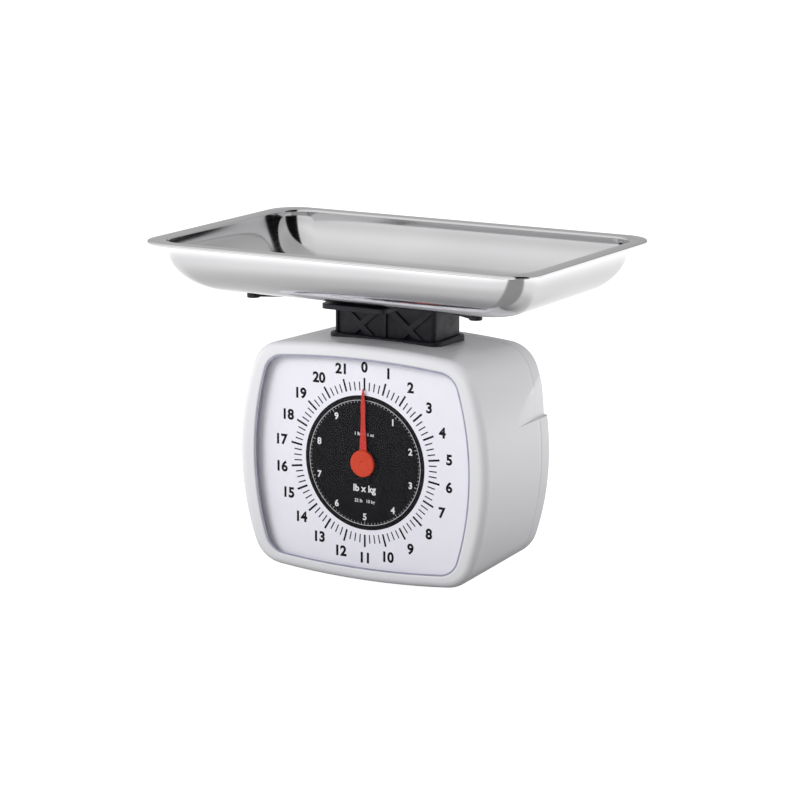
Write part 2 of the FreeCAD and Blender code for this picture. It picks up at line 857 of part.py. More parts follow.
def build_bush(label, low, high, flange_low, flange_high):
    """A flanged brass bush for the pointer shaft, pressed into one upright."""
    sleeve = rod("y", D.bush_radius, low, high, 0, D.dial_height)
    flange = rod("y", D.bush_radius + 1.8, flange_low, flange_high, 0, D.dial_height)
    bore = rod("y", D.shaft_radius + D.bush_gap, low - 5, high + 5, 0, D.dial_height)
    keep(cut(fuse([sleeve, flange]), [bore]), label)


def build_lever_pins():
    pins = []
    for pivot in (D.upper_pivot_z, D.lower_pivot_z):
        for side in (1, -1):
            ends = sorted((D.lever_half_width * side - 2 * D.sheet * side,
                           (D.frame_half_width + 1) * side), key=lambda item: item.value)
            head = sorted(((D.frame_half_width + 0.02) * side,
                           (D.frame_half_width + 1.2) * side), key=lambda item: item.value)
            shank = rod("x", D.pin_radius, ends[0], ends[1], D.frame_pivot_y, pivot)
            cap = rod("x", D.pin_radius + 1.2, head[0], head[1], D.frame_pivot_y, pivot)
            pins.append(fuse([shank, cap]))
    keep(group(pins), "lever_pins")


def build_overload_stop():
    low = D.base_plate + D.sheet
    high = D.carrier_floor - D.travel - 0.4
    keep(cone("z", (7, 5.5), low, high, 0, D.stop_y), "overload_stop")


# ---------------------------------------------------------------- moving platform

LEVER_LENGTH = D.frame_pivot_y + D.carrier_front - D.carrier_width / 2
CARRIER_PIVOT_Y = D.carrier_width / 2 - D.carrier_front


def column_panels():
    """Recessed triangles that leave two crosses of ribs on the column's broad faces."""
    high = D.platform_top - D.platform_thick - D.panel_border
    b = (high - D.panel_low) / 2
    a = (D.column_half_width - D.panel_border * 1.5) / 2
    middle = D.panel_low + b
    up = D.rib_half * root(size(1) + b * b / (a * a))
    out = D.rib_half * root(size(1) + a * a / (b * b))
    for side in (1, -1):
        centre = (a + D.panel_border / 2) * side
        run = (b - up) * a / b
        rise = (a - out) * b / a
        for way in (1, -1):
            yield [(centre - run, middle + b * way), (centre + run, middle + b * way),
                   (centre, middle + up * way)]
            yield [(centre + a * way, middle - rise), (centre + a * way, middle + rise),
                   (centre + out * way, middle)]


def support_screw_places():
    for side in (1, -1):
        for way in (1, -1):
            yield D.support_screw_spread * side, D.support_screw_depth * way


def arm_ends():
    for side in (1, -1):
        for way in (1, -1):
            yield D.arm_reach_wide * side, D.arm_reach_deep * way


def slanted_bar(sketch, way, share):
    """A bar through the origin, some share of the way to an arm's end and its opposite."""
    reach = root(D.arm_reach_wide * D.arm_reach_wide + D.arm_reach_deep * D.arm_reach_deep)
    across_x = D.arm_width / 2 * (D.arm_reach_deep / reach)
    across_y = D.arm_width / 2 * (D.arm_reach_wide / reach)
    end_x, end_y = D.arm_reach_wide * share, D.arm_reach_deep * way * share
    polygon(sketch, [
        (end_x + across_x, end_y - across_y * way),
        (end_x - across_x, end_y + across_y * way),
        (-end_x - across_x, across_y * way - end_y),
        (across_x - end_x, -end_y - across_y * way),
    ])


def build_platform_support():
    """The moulded black column with its spider of arms under the tray."""
    body = new_body("platform_support")
    top, low = D.platform_top, D.platform_top - D.platform_thick
    column = sketch_on(body, "XY_Plane", D.column_bottom)
    rounded_rectangle(column, D.column_half_width, D.column_half_depth, D.column_corner)
    pad(body, column, top - D.column_bottom)
    for way in (1, -1):
        for thick, share in ((D.arm_thick, size(1)), (D.arm_root_thick, D.arm_root_share)):
            arm = sketch_on(body, "XY_Plane", top - thick)
            slanted_bar(arm, way, share)
            pad(body, arm, thick)
    for x, y in arm_ends():
        end = sketch_on(body, "XY_Plane", low)
        circle(end, x, y, D.arm_end_radius)
        pad(body, end, D.platform_thick)
    tongue = sketch_on(body, "XY_Plane", low)
    rounded_rectangle(tongue, D.tongue_half_width, D.tongue_reach, D.tongue_corner)
    pad(body, tongue, D.platform_thick)
    inner_y = D.column_half_depth - D.column_wall - D.column_recess
    hollow = sketch_on(body, "XY_Plane", D.column_bottom - 1)
    rounded_rectangle(hollow, D.column_half_width - D.column_wall, inner_y, 1.5)
    pocket(body, hollow, top - D.column_bottom + 1 - D.platform_skin, reverse=True)
    for way in (1, -1):
        for corners in column_panels():
            panel = sketch_on(body, "XZ_Plane", (D.column_half_depth + 1) * way)
            polygon(panel, corners)
            pocket(body, panel, D.column_recess + 1, reverse=way < 0)
    for x, y in support_screw_places():
        hole = sketch_on(body, "XY_Plane", top + 1)
        circle(hole, x, y, D.screw_radius + D.screw_gap)
        pocket(body, hole, 6)
        sink = sketch_on(body, "XY_Plane", top + 1)
        circle(sink, x, y, D.cover_head_radius + 0.3)
        pocket(body, sink, 2.3)


def build_support_screws():
    screws = []
    top = D.platform_top
    for x, y in support_screw_places():
        face = top - D.screw_gap
        reach = D.cover_head_radius * SLOT_SHARE
        head = rod("z", D.cover_head_radius, face - D.support_head, face, x, y)
        shank = rod("z", D.screw_radius, top - 7, top - 1, x, y)
        cross = box((x - D.slot_half, x + D.slot_half), (y - reach, y + reach),
                    (face - D.slot_depth, top + 1))
        screws.append(cut(fuse([head, shank]), [cross]))
    keep(group(screws), "support_screws")


def build_platform_pads():
    top = D.platform_top
    pads = [rod("z", D.pad_radius, top, top + D.pad_height, x, y) for x, y in arm_ends()]
    keep(group(pads), "platform_pads")


def build_carrier():
    """Steel strap that hangs inside the column and carries the rack, pins and springs."""
    half, front = D.carrier_half_width, -D.carrier_front
    rear = front + D.carrier_width
    floor, ceiling = D.carrier_floor, D.platform_top - D.platform_skin
    bars = mirrored_box((half - D.sheet, half), (front, rear), (floor, ceiling))
    bars += [
        box((-half, half), (front, -front), (ceiling - D.sheet, ceiling)),
        box((-half, half), (front, rear), (floor, floor + D.sheet)),
        box((-20, 20), (front, D.spring_y + 5), (floor, floor + D.sheet)),
        box((-half, half), (rear - D.sheet, rear), (D.cross_bar_low, D.cross_bar_low + 14)),
    ]
    holes = [rod("y", D.rack_pin_radius, rear - 3, rear + 1, D.rack_pin_x, D.rack_pin_z)]
    for x, y in support_screw_places():
        holes.append(rod("z", D.screw_radius + 0.02, ceiling - 3, ceiling + 1, x, y))
    for pivot in (D.upper_pivot_z, D.lower_pivot_z):
        holes.append(rod("x", D.pin_radius, -half - 1, half + 1,
                         CARRIER_PIVOT_Y, pivot + D.travel / 2))
    for side in (1, -1):
        holes.append(rod("z", D.wire / 2 + 0.3, floor - 1, floor + 3,
                         D.spring_half_gap * side, D.spring_y))
    keep(cut(fuse(bars), holes), "carrier")


def between(first, second):
    """Two sizes, the lower first."""
    return sorted((size(first), size(second)), key=lambda item: item.value)


def build_carrier_pins():
    pins = []
    outer = D.lever_half_width
    for pivot in (D.upper_pivot_z, D.lower_pivot_z):
        for side in (1, -1):
            place = (CARRIER_PIVOT_Y, pivot + D.travel / 2)
            shank = between((D.carrier_half_width - 3) * side, (outer + 1) * side)
            head = between((outer + 0.4) * side, (outer + 1.6) * side)
            pins.append(fuse([
                rod("x", D.pin_radius, shank[0], shank[1], *place),
                rod("x", D.pin_radius + 1.2, head[0], head[1], *place),
            ]))
    keep(group(pins), "carrier_pins")


def build_lever(label, pivot_z):
    """Twin-armed lever, made level with its fixed pivot at its own origin, then tilted."""
    outer, reach = D.lever_half_width, LEVER_LENGTH
    slack = D.slot_gap
    tall = D.lever_half_height
    arms = mirrored_box((outer - D.sheet, outer), (-reach, 0), (-tall, tall))
    for side in (1, -1):
        ends = between((outer - D.sheet) * side, outer * side)
        arms.append(rod("x", tall, ends[0], ends[1], 0, 0))
        arms.append(rod("x", tall, ends[0], ends[1], -reach, 0))
    middle, half_web = -reach / 2, D.web_half_depth
    web = box((-outer, outer), (middle - half_web, middle + half_web),
              (-D.web_thick / 2, D.web_thick / 2))
    half_slot = LEVER_SLIP / 2 + 0.2
    middle = -reach - LEVER_SLIP / 2
    holes = [
        rod("x", D.pin_radius + D.bush_gap, -outer - 1, outer + 1, 0, 0),
        rod("x", D.pin_radius + slack, -outer - 1, outer + 1, middle - half_slot, 0),
        rod("x", D.pin_radius + slack, -outer - 1, outer + 1, middle + half_slot, 0),
        box((-outer - 1, outer + 1), (middle - half_slot, middle + half_slot),
            (-D.pin_radius - slack, D.pin_radius + slack)),
    ]
    lever = keep(cut(fuse(arms + [web]), holes), label)
    lever.Placement = turned((-1, 0, 0), LEVER_TILT.value)
    bind(lever, Placement__Rotation__Angle=LEVER_TILT)
    bind_place(lever, 0, D.frame_pivot_y, pivot_z)
    return lever


def involute(base, radius):
    """Polar angle that an involute from a base circle has reached at a radius."""
    slope = math.sqrt(max((radius / base) ** 2 - 1, 0))
    return slope - math.atan(slope)


PITCH_RADIUS = D.travel / (2 * math.pi)
TOOTH_PITCH = D.travel / D.gear_teeth
MODULE = PITCH_RADIUS * 2 / D.gear_teeth
PRESSURE = math.radians(20)
PINION_ADDENDUM, PINION_DEDENDUM = 0.8, 0.9
RACK_ADDENDUM, RACK_DEDENDUM = 0.6, 1.1
TEETH_BELOW, TEETH_ABOVE = 3, 15
FLANK_STEPS = 5
LEVER_TILT = Size(math.degrees(math.asin((D.travel / LEVER_LENGTH / 2).value)),
                  "asin(%s)" % (D.travel / LEVER_LENGTH / 2).text)
LEVER_SLIP = LEVER_LENGTH * LEVER_LENGTH / root(
    LEVER_LENGTH * LEVER_LENGTH - D.travel * D.travel / 4) - LEVER_LENGTH


def build_pinion():
    """Twelve-tooth brass pinion with stub involute teeth and a gap facing the rack."""
    pitch, module = PITCH_RADIUS.value, MODULE.value
    base = pitch * math.cos(PRESSURE)
    tip, foot = pitch + PINION_ADDENDUM * module, pitch - PINION_DEDENDUM * module
    teeth = int(D.gear_teeth.value)
    half_tooth = math.pi / (2 * teeth) + involute(base, pitch)
    flank = [base + (tip - base) * step / FLANK_STEPS for step in range(FLANK_STEPS + 1)]
    outline = []
    for tooth in range(teeth):
        middle = 2 * math.pi * (tooth + 0.5) / teeth
        side = [(foot, half_tooth)]
        side += [(radius, half_tooth - involute(base, radius)) for radius in flank]
        for radius, lean in side:
            outline.append((radius, middle - lean))
        for radius, lean in reversed(side):
            outline.append((radius, middle + lean))
    points = [FreeCAD.Vector(radius * math.cos(angle), 0, radius * math.sin(angle))
              for radius, angle in outline]
    face = Part.Face(Part.makePolygon(points + points[:1]))
    gear = face.extrude(FreeCAD.Vector(0, D.pinion_width.value, 0))
    feature = doc.addObject("Part::Feature", "toothed_blank")
    feature.Shape = gear.cut(Part.makeCylinder(
        D.shaft_radius.value, D.pinion_width.value + 2,
        FreeCAD.Vector(0, -1, 0), FreeCAD.Vector(0, 1, 0)))
    feature.Placement = FreeCAD.Placement(
        FreeCAD.Vector(0, -D.pinion_front.value, D.dial_height.value), FreeCAD.Rotation())
    keep(feature, "pinion")


def build_rack():
    """Brass rack to the right of the pinion, with a tooth in the pinion's gap."""
    body = new_body("rack")
    add, root_depth = RACK_ADDENDUM * MODULE, RACK_DEDENDUM * MODULE
    lean = math.tan(PRESSURE)
    tip_x, root_x = PITCH_RADIUS - add, PITCH_RADIUS + root_depth
    half_tip = TOOTH_PITCH / 4 - add * lean - D.backlash / 2
    half_root = TOOTH_PITCH / 4 + root_depth * lean - D.backlash / 2
    bottom = D.dial_height - TOOTH_PITCH * (TEETH_BELOW + 0.5)
    points = [(root_x, bottom)]
    for tooth in range(-TEETH_BELOW, TEETH_ABOVE + 1):
        middle = D.dial_height + TOOTH_PITCH * tooth
        points += [(root_x, middle - half_root), (tip_x, middle - half_tip),
                   (tip_x, middle + half_tip), (root_x, middle + half_root)]
    points += [
        (root_x, D.rack_pin_z + 4),
        (D.rack_back, D.rack_pin_z + 4),
        (D.rack_back, bottom),
    ]
    sketch = sketch_on(body, "XZ_Plane", D.rack_front)
    polygon(sketch, points)
    pad(body, sketch, D.rack_width, reverse=True)
    hole = sketch_on(body, "XZ_Plane", D.rack_front + 1)
    circle(hole, D.rack_pin_x, D.rack_pin_z, D.rack_pin_radius + D.bush_gap)
    pocket(body, hole, D.rack_width + 2)


def build_rack_pin():
    low, high = -D.rack_front - 1, D.carrier_width - D.carrier_front + 0.6
    shank = rod("y", D.rack_pin_radius, low, high, D.rack_pin_x, D.rack_pin_z)
    head = rod("y", D.rack_pin_radius + 1, low - 0.8, low + 0.4, D.rack_pin_x, D.rack_pin_z)
    keep(fuse([shank, head]), "rack_pin")


def build_rack_spring():
    """Bent leaf that presses the rack into the pinion."""
    body = new_body("rack_spring")
    back, low, high = D.rack_back + 0.05, D.dial_height + 14, D.rack_pin_z + 4
    sketch = sketch_on(body, "XZ_Plane", D.rack_front - 2)
    polygon(sketch, [
        (back, low), (back + 0.45, low), (back + 2.5, high - 9), (back + 2.5, high),
        (back + 2.05, high), (back + 2.05, high - 8.8),
    ])
    pad(body, sketch, D.rack_front - 2 + D.carrier_width - D.carrier_front - D.sheet,
        reverse=True)


def build_springs():
    """Two extension springs between the carrier's floor and the hanger."""
    low = D.carrier_floor + D.sheet + D.spring_tail
    high = D.hanger_z - D.spring_tail
    radius, wire = D.spring_radius, D.wire / 2
    turns = D.spring_turns
    for side, label in ((-1, "main_spring_left"), (1, "main_spring_right")):
        x = D.spring_half_gap * side
        helix = doc.addObject("Part::Helix", "spring_line")
        bind(helix, Pitch=(high - low) / turns, Height=high - low, Radius=radius)
        bind_place(helix, x, D.spring_y, low)
        ring = doc.addObject("Part::Circle", "wire_section")
        ring.Placement = turned((1, 0, 0), 90)
        bind(ring, Radius=wire)
        bind_place(ring, x + radius, D.spring_y, low)
        coil = doc.addObject("Part::Sweep", "coil")
        coil.Sections = [ring]
        coil.Spine = (helix, ["Edge1"])
        coil.Solid = True
        coil.Frenet = True
        below, above = D.carrier_floor - 0.05, D.hanger_z + D.hanger_thick + 0.05
        tails = []
        for end, shank_low, shank_high, bead in (
                (low, below - 2, low + wire, below - D.bead_thick),
                (high, high - wire, above + 2, above)):
            tails.append(rod("z", wire, shank_low, shank_high, x, D.spring_y))
            tails.append(rod("x", wire, x, x + radius, D.spring_y, end))
            tails.append(rod("z", wire + D.bead_out, bead, bead + D.bead_thick, x, D.spring_y))
        keep(fuse([coil] + tails), label)


# ---------------------------------------------------------------- pointer

def build_pointer_shaft():
    low, high = D.cap_skin - D.pointer_front - D.cap_thick, D.frame_rear + 2
    keep(rod("y", D.shaft_radius, low, high, 0, D.dial_height), "pointer_shaft")


def build_shaft_collar():
    low = D.sheet - D.frame_front + 2
    high = low + D.shaft_collar_thick
    ring = rod("y", D.shaft_collar_radius, low, high, 0, D.dial_height)
    bore = rod("y", D.shaft_radius, low - 1, high + 1, 0, D.dial_height)
    keep(cut(ring, [bore]), "shaft_collar")


def build_pointer():
    """Thin red needle on a disc, straight up at zero."""
    body = new_body("pointer")
    centre = D.dial_height
    needle = sketch_on(body, "XZ_Plane", D.pointer_front)
    polygon(needle, [
        (D.needle_root_half, centre),
        (D.needle_tip_half, centre + D.needle_reach - D.needle_point),
        (0, centre + D.needle_reach),
        (-D.needle_tip_half, centre + D.needle_reach - D.needle_point),
        (-D.needle_root_half, centre),
    ])
    pad(body, needle, D.pointer_thick, reverse=True)
    disc = sketch_on(body, "XZ_Plane", D.pointer_front)
    circle(disc, 0, centre, D.needle_disc)
    pad(body, disc, D.pointer_thick, reverse=True)
    eye = sketch_on(body, "XZ_Plane", D.pointer_front + 1)
    circle(eye, 0, centre, D.shaft_radius)
    pocket(body, eye, D.pointer_thick + 2)


def build_pointer_cap():
    body = new_body("pointer_cap")
    front = D.pointer_front + D.cap_thick
    disc = sketch_on(body, "XZ_Plane", D.pointer_front)
    circle(disc, 0, D.dial_height, D.hub_radius)
    pad(body, disc, D.cap_thick)
    round_edges(body, D.cap_edge, lambda edge: lies_at(edge, 1, -front.value))
    bore = sketch_on(body, "XZ_Plane", D.pointer_front)
    circle(bore, 0, D.dial_height, D.shaft_radius)
    pocket(body, bore, D.cap_thick - D.cap_skin, reverse=True)


# ---------------------------------------------------------------- zero adjustment

FLUTES = 28


def build_zero_thumbwheel():
    """Fluted wheel whose rim shows through a slot in the rear cover."""
    body = new_body("zero_thumbwheel")
    low = D.frame_top + D.wheel_gap
    disc = sketch_on(body, "XY_Plane", low)
    circle(disc, 0, D.wheel_y, D.wheel_radius)
    pad(body, disc, D.wheel_thick)
    bore = sketch_on(body, "XY_Plane", low - 1)
    circle(bore, 0, D.wheel_y, D.thread_radius)
    pocket(body, bore, D.wheel_thick + 2, reverse=True)
    reach = D.wheel_radius + D.flute_out
    for flute in range(FLUTES):
        angle = 2 * math.pi * flute / FLUTES
        groove = sketch_on(body, "XY_Plane", low - 1)
        circle(groove, reach * math.sin(angle), D.wheel_y + reach * math.cos(angle),
               D.flute_radius)
        pocket(body, groove, D.wheel_thick + 2, reverse=True)


def build_adjusting_screw():
    low, high = D.hanger_z - 4, D.frame_top + D.wheel_gap + D.wheel_thick + 0.6
    shelf = D.frame_top - D.sheet
    stem = rod("z", D.thread_radius, low, high, 0, D.wheel_y)
    stop = rod("z", D.thread_radius + 1.2, shelf - 1.5, shelf - 0.2, 0, D.wheel_y)
    keep(fuse([stem, stop]), "adjusting_screw")


def build_spring_hanger():
    low, high = D.hanger_z, D.hanger_z + D.hanger_thick
    bar = box((-20, 20), (D.spring_y - 4, D.spring_y + 4), (low, high))
    tail = box((-5, 5), (D.spring_y, D.wheel_y + 4), (low, high))
    holes = [rod("z", D.thread_radius + D.bush_gap, low - 1, high + 1, 0, D.wheel_y)]
    for side in (1, -1):
        x = D.spring_half_gap * side
        holes.append(rod("z", D.wire / 2 + 0.3, low - 1, high + 1, x, D.spring_y))
    keep(cut(fuse([bar, tail]), holes), "spring_hanger")


# ---------------------------------------------------------------- tray

def tray_sections(body, inset, floor):
    """Rounded rectangles that follow the tray wall's quarter-round up from its floor."""
    half_x = D.tray_half_length - D.tray_flange - inset
    half_y = D.tray_half_width - D.tray_flange - inset
    radius = D.tray_wall_round - inset
    centre_z = floor + D.tray_wall_round
    steps = 5
    for step in range(steps + 1):
        angle = math.radians(90 * step / steps)
        drawn_in = radius * (1 - math.sin(angle))
        sketch = sketch_on(body, "XY_Plane", centre_z - radius * math.cos(angle))
        opened = (D.tray_corner - D.tray_floor_corner) * math.sin(angle)
        corner = D.tray_floor_corner + opened - inset
        rounded_rectangle(sketch, half_x - drawn_in, half_y - drawn_in, corner)
        yield sketch


def tray_top_section(body, inset, z):
    sketch = sketch_on(body, "XY_Plane", z)
    rounded_rectangle(sketch, D.tray_half_length - D.tray_flange - inset,
                      D.tray_half_width - D.tray_flange - inset, D.tray_corner - inset)
    return sketch


def build_tray():
    """Pressed steel tray: a rounded wall, a flat flange and a turned-down hem."""
    body = new_body("tray")
    floor = D.platform_top + D.pad_height
    rim = floor + D.tray_depth
    loft(body, "AdditiveLoft", list(tray_sections(body, size(0), floor)))
    pad(body, tray_top_section(body, 0, floor + D.tray_wall_round),
        D.tray_depth - D.tray_wall_round)
    outer_corner = D.tray_rim_corner
    flange = sketch_on(body, "XY_Plane", rim - D.tray_hem)
    rounded_rectangle(flange, D.tray_half_length, D.tray_half_width, outer_corner)
    pad(body, flange, D.tray_hem)
    under = sketch_on(body, "XY_Plane", rim - D.tray_hem)
    rounded_rectangle(under, D.tray_half_length - D.tray_sheet,
                      D.tray_half_width - D.tray_sheet, outer_corner - D.tray_sheet)
    rounded_rectangle(under, D.tray_half_length - D.tray_flange,
                      D.tray_half_width - D.tray_flange, D.tray_corner)
    pocket(body, under, D.tray_hem - D.tray_sheet, reverse=True)
    loft(body, "SubtractiveLoft", list(tray_sections(body, D.tray_sheet, floor)))
    pocket(body, tray_top_section(body, D.tray_sheet, floor + D.tray_wall_round),
           D.tray_depth, reverse=True)


# ---------------------------------------------------------------- build and export

def build_all():
    build_front_housing()
    build_rear_cover()
    build_lens()
    build_dial_plate()
    build_column_collar()
    build_feet()
    build_foot_screws()
    build_cover_screws()
    build_dial_screws()
    build_chassis()
    upright = -D.frame_front
    build_bush("front_bush", upright - 1.2, upright + 3, upright + D.sheet, upright + 3)
    upright = D.frame_rear
    build_bush("rear_bush", upright - 4, upright + 2, upright - 4, upright - D.sheet)
    build_lever_pins()
    build_overload_stop()
    build_platform_support()
    build_support_screws()
    build_platform_pads()
    build_carrier()
    build_carrier_pins()
    build_lever("upper_lever", D.upper_pivot_z)
    build_lever("lower_lever", D.lower_pivot_z)
    build_pinion()
    build_rack()
    build_rack_pin()
    build_rack_spring()
    build_springs()
    build_pointer_shaft()
    build_shaft_collar()
    build_pointer()
    build_pointer_cap()
    build_zero_thumbwheel()
    build_adjusting_screw()
    build_spring_hanger()
    build_tray()


def check_document():
    """Stop unless every object computed and every sub-part is one valid shape."""
    failed = [item.Name for item in doc.Objects
              if {"Invalid", "Error"} & set(item.State)]
    failed += [part.Label for part in PARTS
               if part.Shape.isNull() or not part.Shape.isValid() or not part.Shape.Solids]
    if failed:
        raise SystemExit("failed: " + ", ".join(failed))


def export_parts():
    os.makedirs("parts", exist_ok=True)
    for part in PARTS:
        part.Shape.exportStep("parts/%s.step" % part.Label)
        print("%-20s %2d solids %10.1f mm3" % (part.Label, len(part.Shape.Solids),
                                               part.Shape.Volume))


build_all()
doc.recompute()
check_document()
export_parts()
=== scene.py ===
import json
import math

import bmesh
import bpy
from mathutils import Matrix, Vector


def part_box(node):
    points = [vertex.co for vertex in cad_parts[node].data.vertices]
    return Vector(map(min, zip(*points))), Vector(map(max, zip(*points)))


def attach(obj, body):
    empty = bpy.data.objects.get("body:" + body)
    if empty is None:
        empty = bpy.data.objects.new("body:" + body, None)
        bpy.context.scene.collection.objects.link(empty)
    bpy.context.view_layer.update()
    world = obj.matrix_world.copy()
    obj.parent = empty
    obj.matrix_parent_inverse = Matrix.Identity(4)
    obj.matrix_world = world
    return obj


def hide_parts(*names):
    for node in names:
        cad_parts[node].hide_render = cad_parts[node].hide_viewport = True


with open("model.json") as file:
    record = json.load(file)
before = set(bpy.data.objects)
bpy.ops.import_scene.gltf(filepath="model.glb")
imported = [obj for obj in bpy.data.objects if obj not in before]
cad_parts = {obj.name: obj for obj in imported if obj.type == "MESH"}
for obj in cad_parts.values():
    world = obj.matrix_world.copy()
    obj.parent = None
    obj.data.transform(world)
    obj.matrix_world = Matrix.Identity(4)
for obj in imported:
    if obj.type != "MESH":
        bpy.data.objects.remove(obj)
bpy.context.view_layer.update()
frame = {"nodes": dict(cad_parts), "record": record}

# Everything is in metres, in the CAD frame: +X right, -Y towards the reader, +Z up.

# ---------------------------------------------------------------- places read from the frame

housing_low, housing_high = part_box("front_housing")
_, cover_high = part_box("rear_cover")
dial_low, dial_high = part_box("dial_plate")
lens_low, lens_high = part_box("lens")
shaft_low, shaft_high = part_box("pointer_shaft")
pointer_low, pointer_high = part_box("pointer")
cap_low, cap_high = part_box("pointer_cap")
collar_low, collar_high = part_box("column_collar")
tray_low, tray_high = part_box("tray")

FRONT_Y, SEAM_Y, REAR_Y = housing_low.y, housing_high.y, cover_high.y
DIAL_Z = (shaft_low.z + shaft_high.z) / 2
DIAL_Y = dial_low.y

# the housing's outline, as in the CAD
HALF_WIDTH, HALF_HEIGHT = 0.105, 0.08825
SIDE_ARC, TOP_ARC, CORNER_ARC, LEAST_CORNER = 0.200, 0.700, 0.026, 0.004
REAR_INSET, REAR_DROP, REAR_RISE = 0.003, 0.003, 0.005
WALL = 0.003
EDGE_ROUND = 0.0065
WINDOW_WIDTH, WINDOW_HEIGHT = 0.091, 0.0785
WINDOW_SIDE_ARC, WINDOW_TOP_ARC, WINDOW_CORNER = 0.216, 0.700, 0.017
LENS_FRONT = lens_low.y
GRIP_BOTTOM, GRIP_DEPTH, GRIP_LEAN = 0.1185, 0.005, 0.063
GRIP_START, GRIP_EASE = -0.002, 0.0006
REAR_DEPTH = 0.053
CLEAR, PAST = 0.002, 0.01  # how far cutters run past what they cut: close, and well past


# ---------------------------------------------------------------- materials

def material(name, colour, roughness, metallic=0.0, **sockets):
    """A new material and its shader, with any further sockets set by name."""
    made = bpy.data.materials.new(name)
    made.use_nodes = True
    shader = made.node_tree.nodes["Principled BSDF"]
    shader.inputs["Base Color"].default_value = (*colour, 1.0)
    shader.inputs["Roughness"].default_value = roughness
    shader.inputs["Metallic"].default_value = metallic
    for socket, value in sockets.items():
        shader.inputs[socket.replace("_", " ")].default_value = value
    return made, shader


def node(made, kind, **values):
    """A node of the material's tree, with sockets or settings filled in by name."""
    added = made.node_tree.nodes.new(kind)
    for name, value in values.items():
        if name in added.inputs:
            added.inputs[name].default_value = value
        else:
            setattr(added, name, value)
    return added


def link(made, source, target):
    made.node_tree.links.new(source, target)


def grain(made, scale, detail=4.0, stretch=(1, 1, 1)):
    """Noise over the piece's own coordinates, stretched along an axis where asked."""
    place = node(made, "ShaderNodeTexCoord")
    mapping = node(made, "ShaderNodeMapping")
    mapping.inputs["Scale"].default_value = stretch
    noise = node(made, "ShaderNodeTexNoise", Scale=scale, Detail=detail)
    link(made, place.outputs["Object"], mapping.inputs["Vector"])
    link(made, mapping.outputs["Vector"], noise.inputs["Vector"])
    return noise.outputs["Fac"]


def ramp(made, source, low, high):
    """Map a 0-1 value to the range low to high."""
    mapped = node(made, "ShaderNodeMapRange")
    mapped.inputs["From Min"].default_value = 0.3
    mapped.inputs["From Max"].default_value = 0.7
    mapped.inputs["To Min"].default_value = low
    mapped.inputs["To Max"].default_value = high
    link(made, source, mapped.inputs["Value"])
    return mapped.outputs["Result"]


def tint(made, shader, source, first, second):
    """Colour that drifts between two tones."""
    blend = node(made, "ShaderNodeMix", data_type="RGBA")
    link(made, ramp(made, source, 0.0, 1.0), blend.inputs[0])
    blend.inputs[6].default_value = (*first, 1.0)
    blend.inputs[7].default_value = (*second, 1.0)
    link(made, blend.outputs[2], shader.inputs["Base Color"])


def bump(made, shader, source, distance, strength=0.5):
    """Fine relief from a 0-1 value, with its height in metres."""
    relief = node(made, "ShaderNodeBump", Strength=strength, Distance=distance)
    link(made, source, relief.inputs["Height"])
    link(made, relief.outputs["Normal"], shader.inputs["Normal"])


def white_plastic():
    """The housing's moulded white, faintly cloudy, with a soft sheen."""
    made, shader = material("white_abs", (0.72, 0.72, 0.75), 0.3, Coat_Weight=0.25,
                            Coat_Roughness=0.18, Specular_IOR_Level=0.5)
    tint(made, shader, grain(made, 14, 3), (0.675, 0.675, 0.70), (0.695, 0.695, 0.72))
    link(made, ramp(made, grain(made, 30, 2), 0.31, 0.35), shader.inputs["Roughness"])
    bump(made, shader, grain(made, 120, 2), 0.00001, 0.05)
    return made


def black_plastic(name, tone, scale):
    """Moulded black with a fine textured skin."""
    made, shader = material(name, tone, 0.42, Specular_IOR_Level=0.3)
    lighter = tuple(value * 1.5 + 0.002 for value in tone)
    tint(made, shader, grain(made, 60, 5), tone, lighter)
    link(made, ramp(made, grain(made, 200, 5), 0.32, 0.5), shader.inputs["Roughness"])
    bump(made, shader, grain(made, scale, 3), 0.00006, 0.5)
    return made


def rubber():
    """Matt black rubber."""
    made, shader = material("rubber", (0.02, 0.02, 0.021), 0.75, Specular_IOR_Level=0.3)
    tint(made, shader, grain(made, 80, 5), (0.017, 0.017, 0.018), (0.03, 0.03, 0.031))
    bump(made, shader, grain(made, 1500, 4), 0.0001, 0.6)
    return made


def polished_steel():
    """Pressed stainless sheet: a near mirror with faint polishing lines and handling marks."""
    made, shader = material("polished_stainless", (0.72, 0.72, 0.73), 0.1, metallic=1.0)
    lines = grain(made, 120, 6, stretch=(1, 30, 30))
    cloud = grain(made, 9, 3)
    tint(made, shader, cloud, (0.70, 0.70, 0.71), (0.78, 0.78, 0.79))
    mixed = node(made, "ShaderNodeMath", operation="MULTIPLY")
    link(made, ramp(made, lines, 0.8, 1.2), mixed.inputs[0])
    link(made, ramp(made, cloud, 0.085, 0.13), mixed.inputs[1])
    link(made, mixed.outputs[0], shader.inputs["Roughness"])
    bump(made, shader, lines, 0.00001, 0.08)
    return made


def metal(name, first, second, roughness, stretch=(1, 1, 1)):
    """Bare or plated metal; a stretch across the grain gives it streaks."""
    made, shader = material(name, first, roughness, metallic=1.0)
    tint(made, shader, grain(made, 70, 5), first, second)
    streak = grain(made, 300, 5, stretch=stretch)
    link(made, ramp(made, streak, roughness * 0.75, roughness * 1.3), shader.inputs["Roughness"])
    bump(made, shader, streak, 0.00004, 0.3)
    return made


def paint(name, first, second, roughness, shine=0.5):
    """Paint, ink or plain moulded colour with a barely uneven surface."""
    made, shader = material(name, first, roughness, Coat_Roughness=0.1,
                            Specular_IOR_Level=shine)
    tint(made, shader, grain(made, 120, 4), first, second)
    link(made, ramp(made, grain(made, 260, 4), roughness * 0.85, roughness * 1.2),
         shader.inputs["Roughness"])
    bump(made, shader, grain(made, 700, 3), 0.00001, 0.1)
    return made


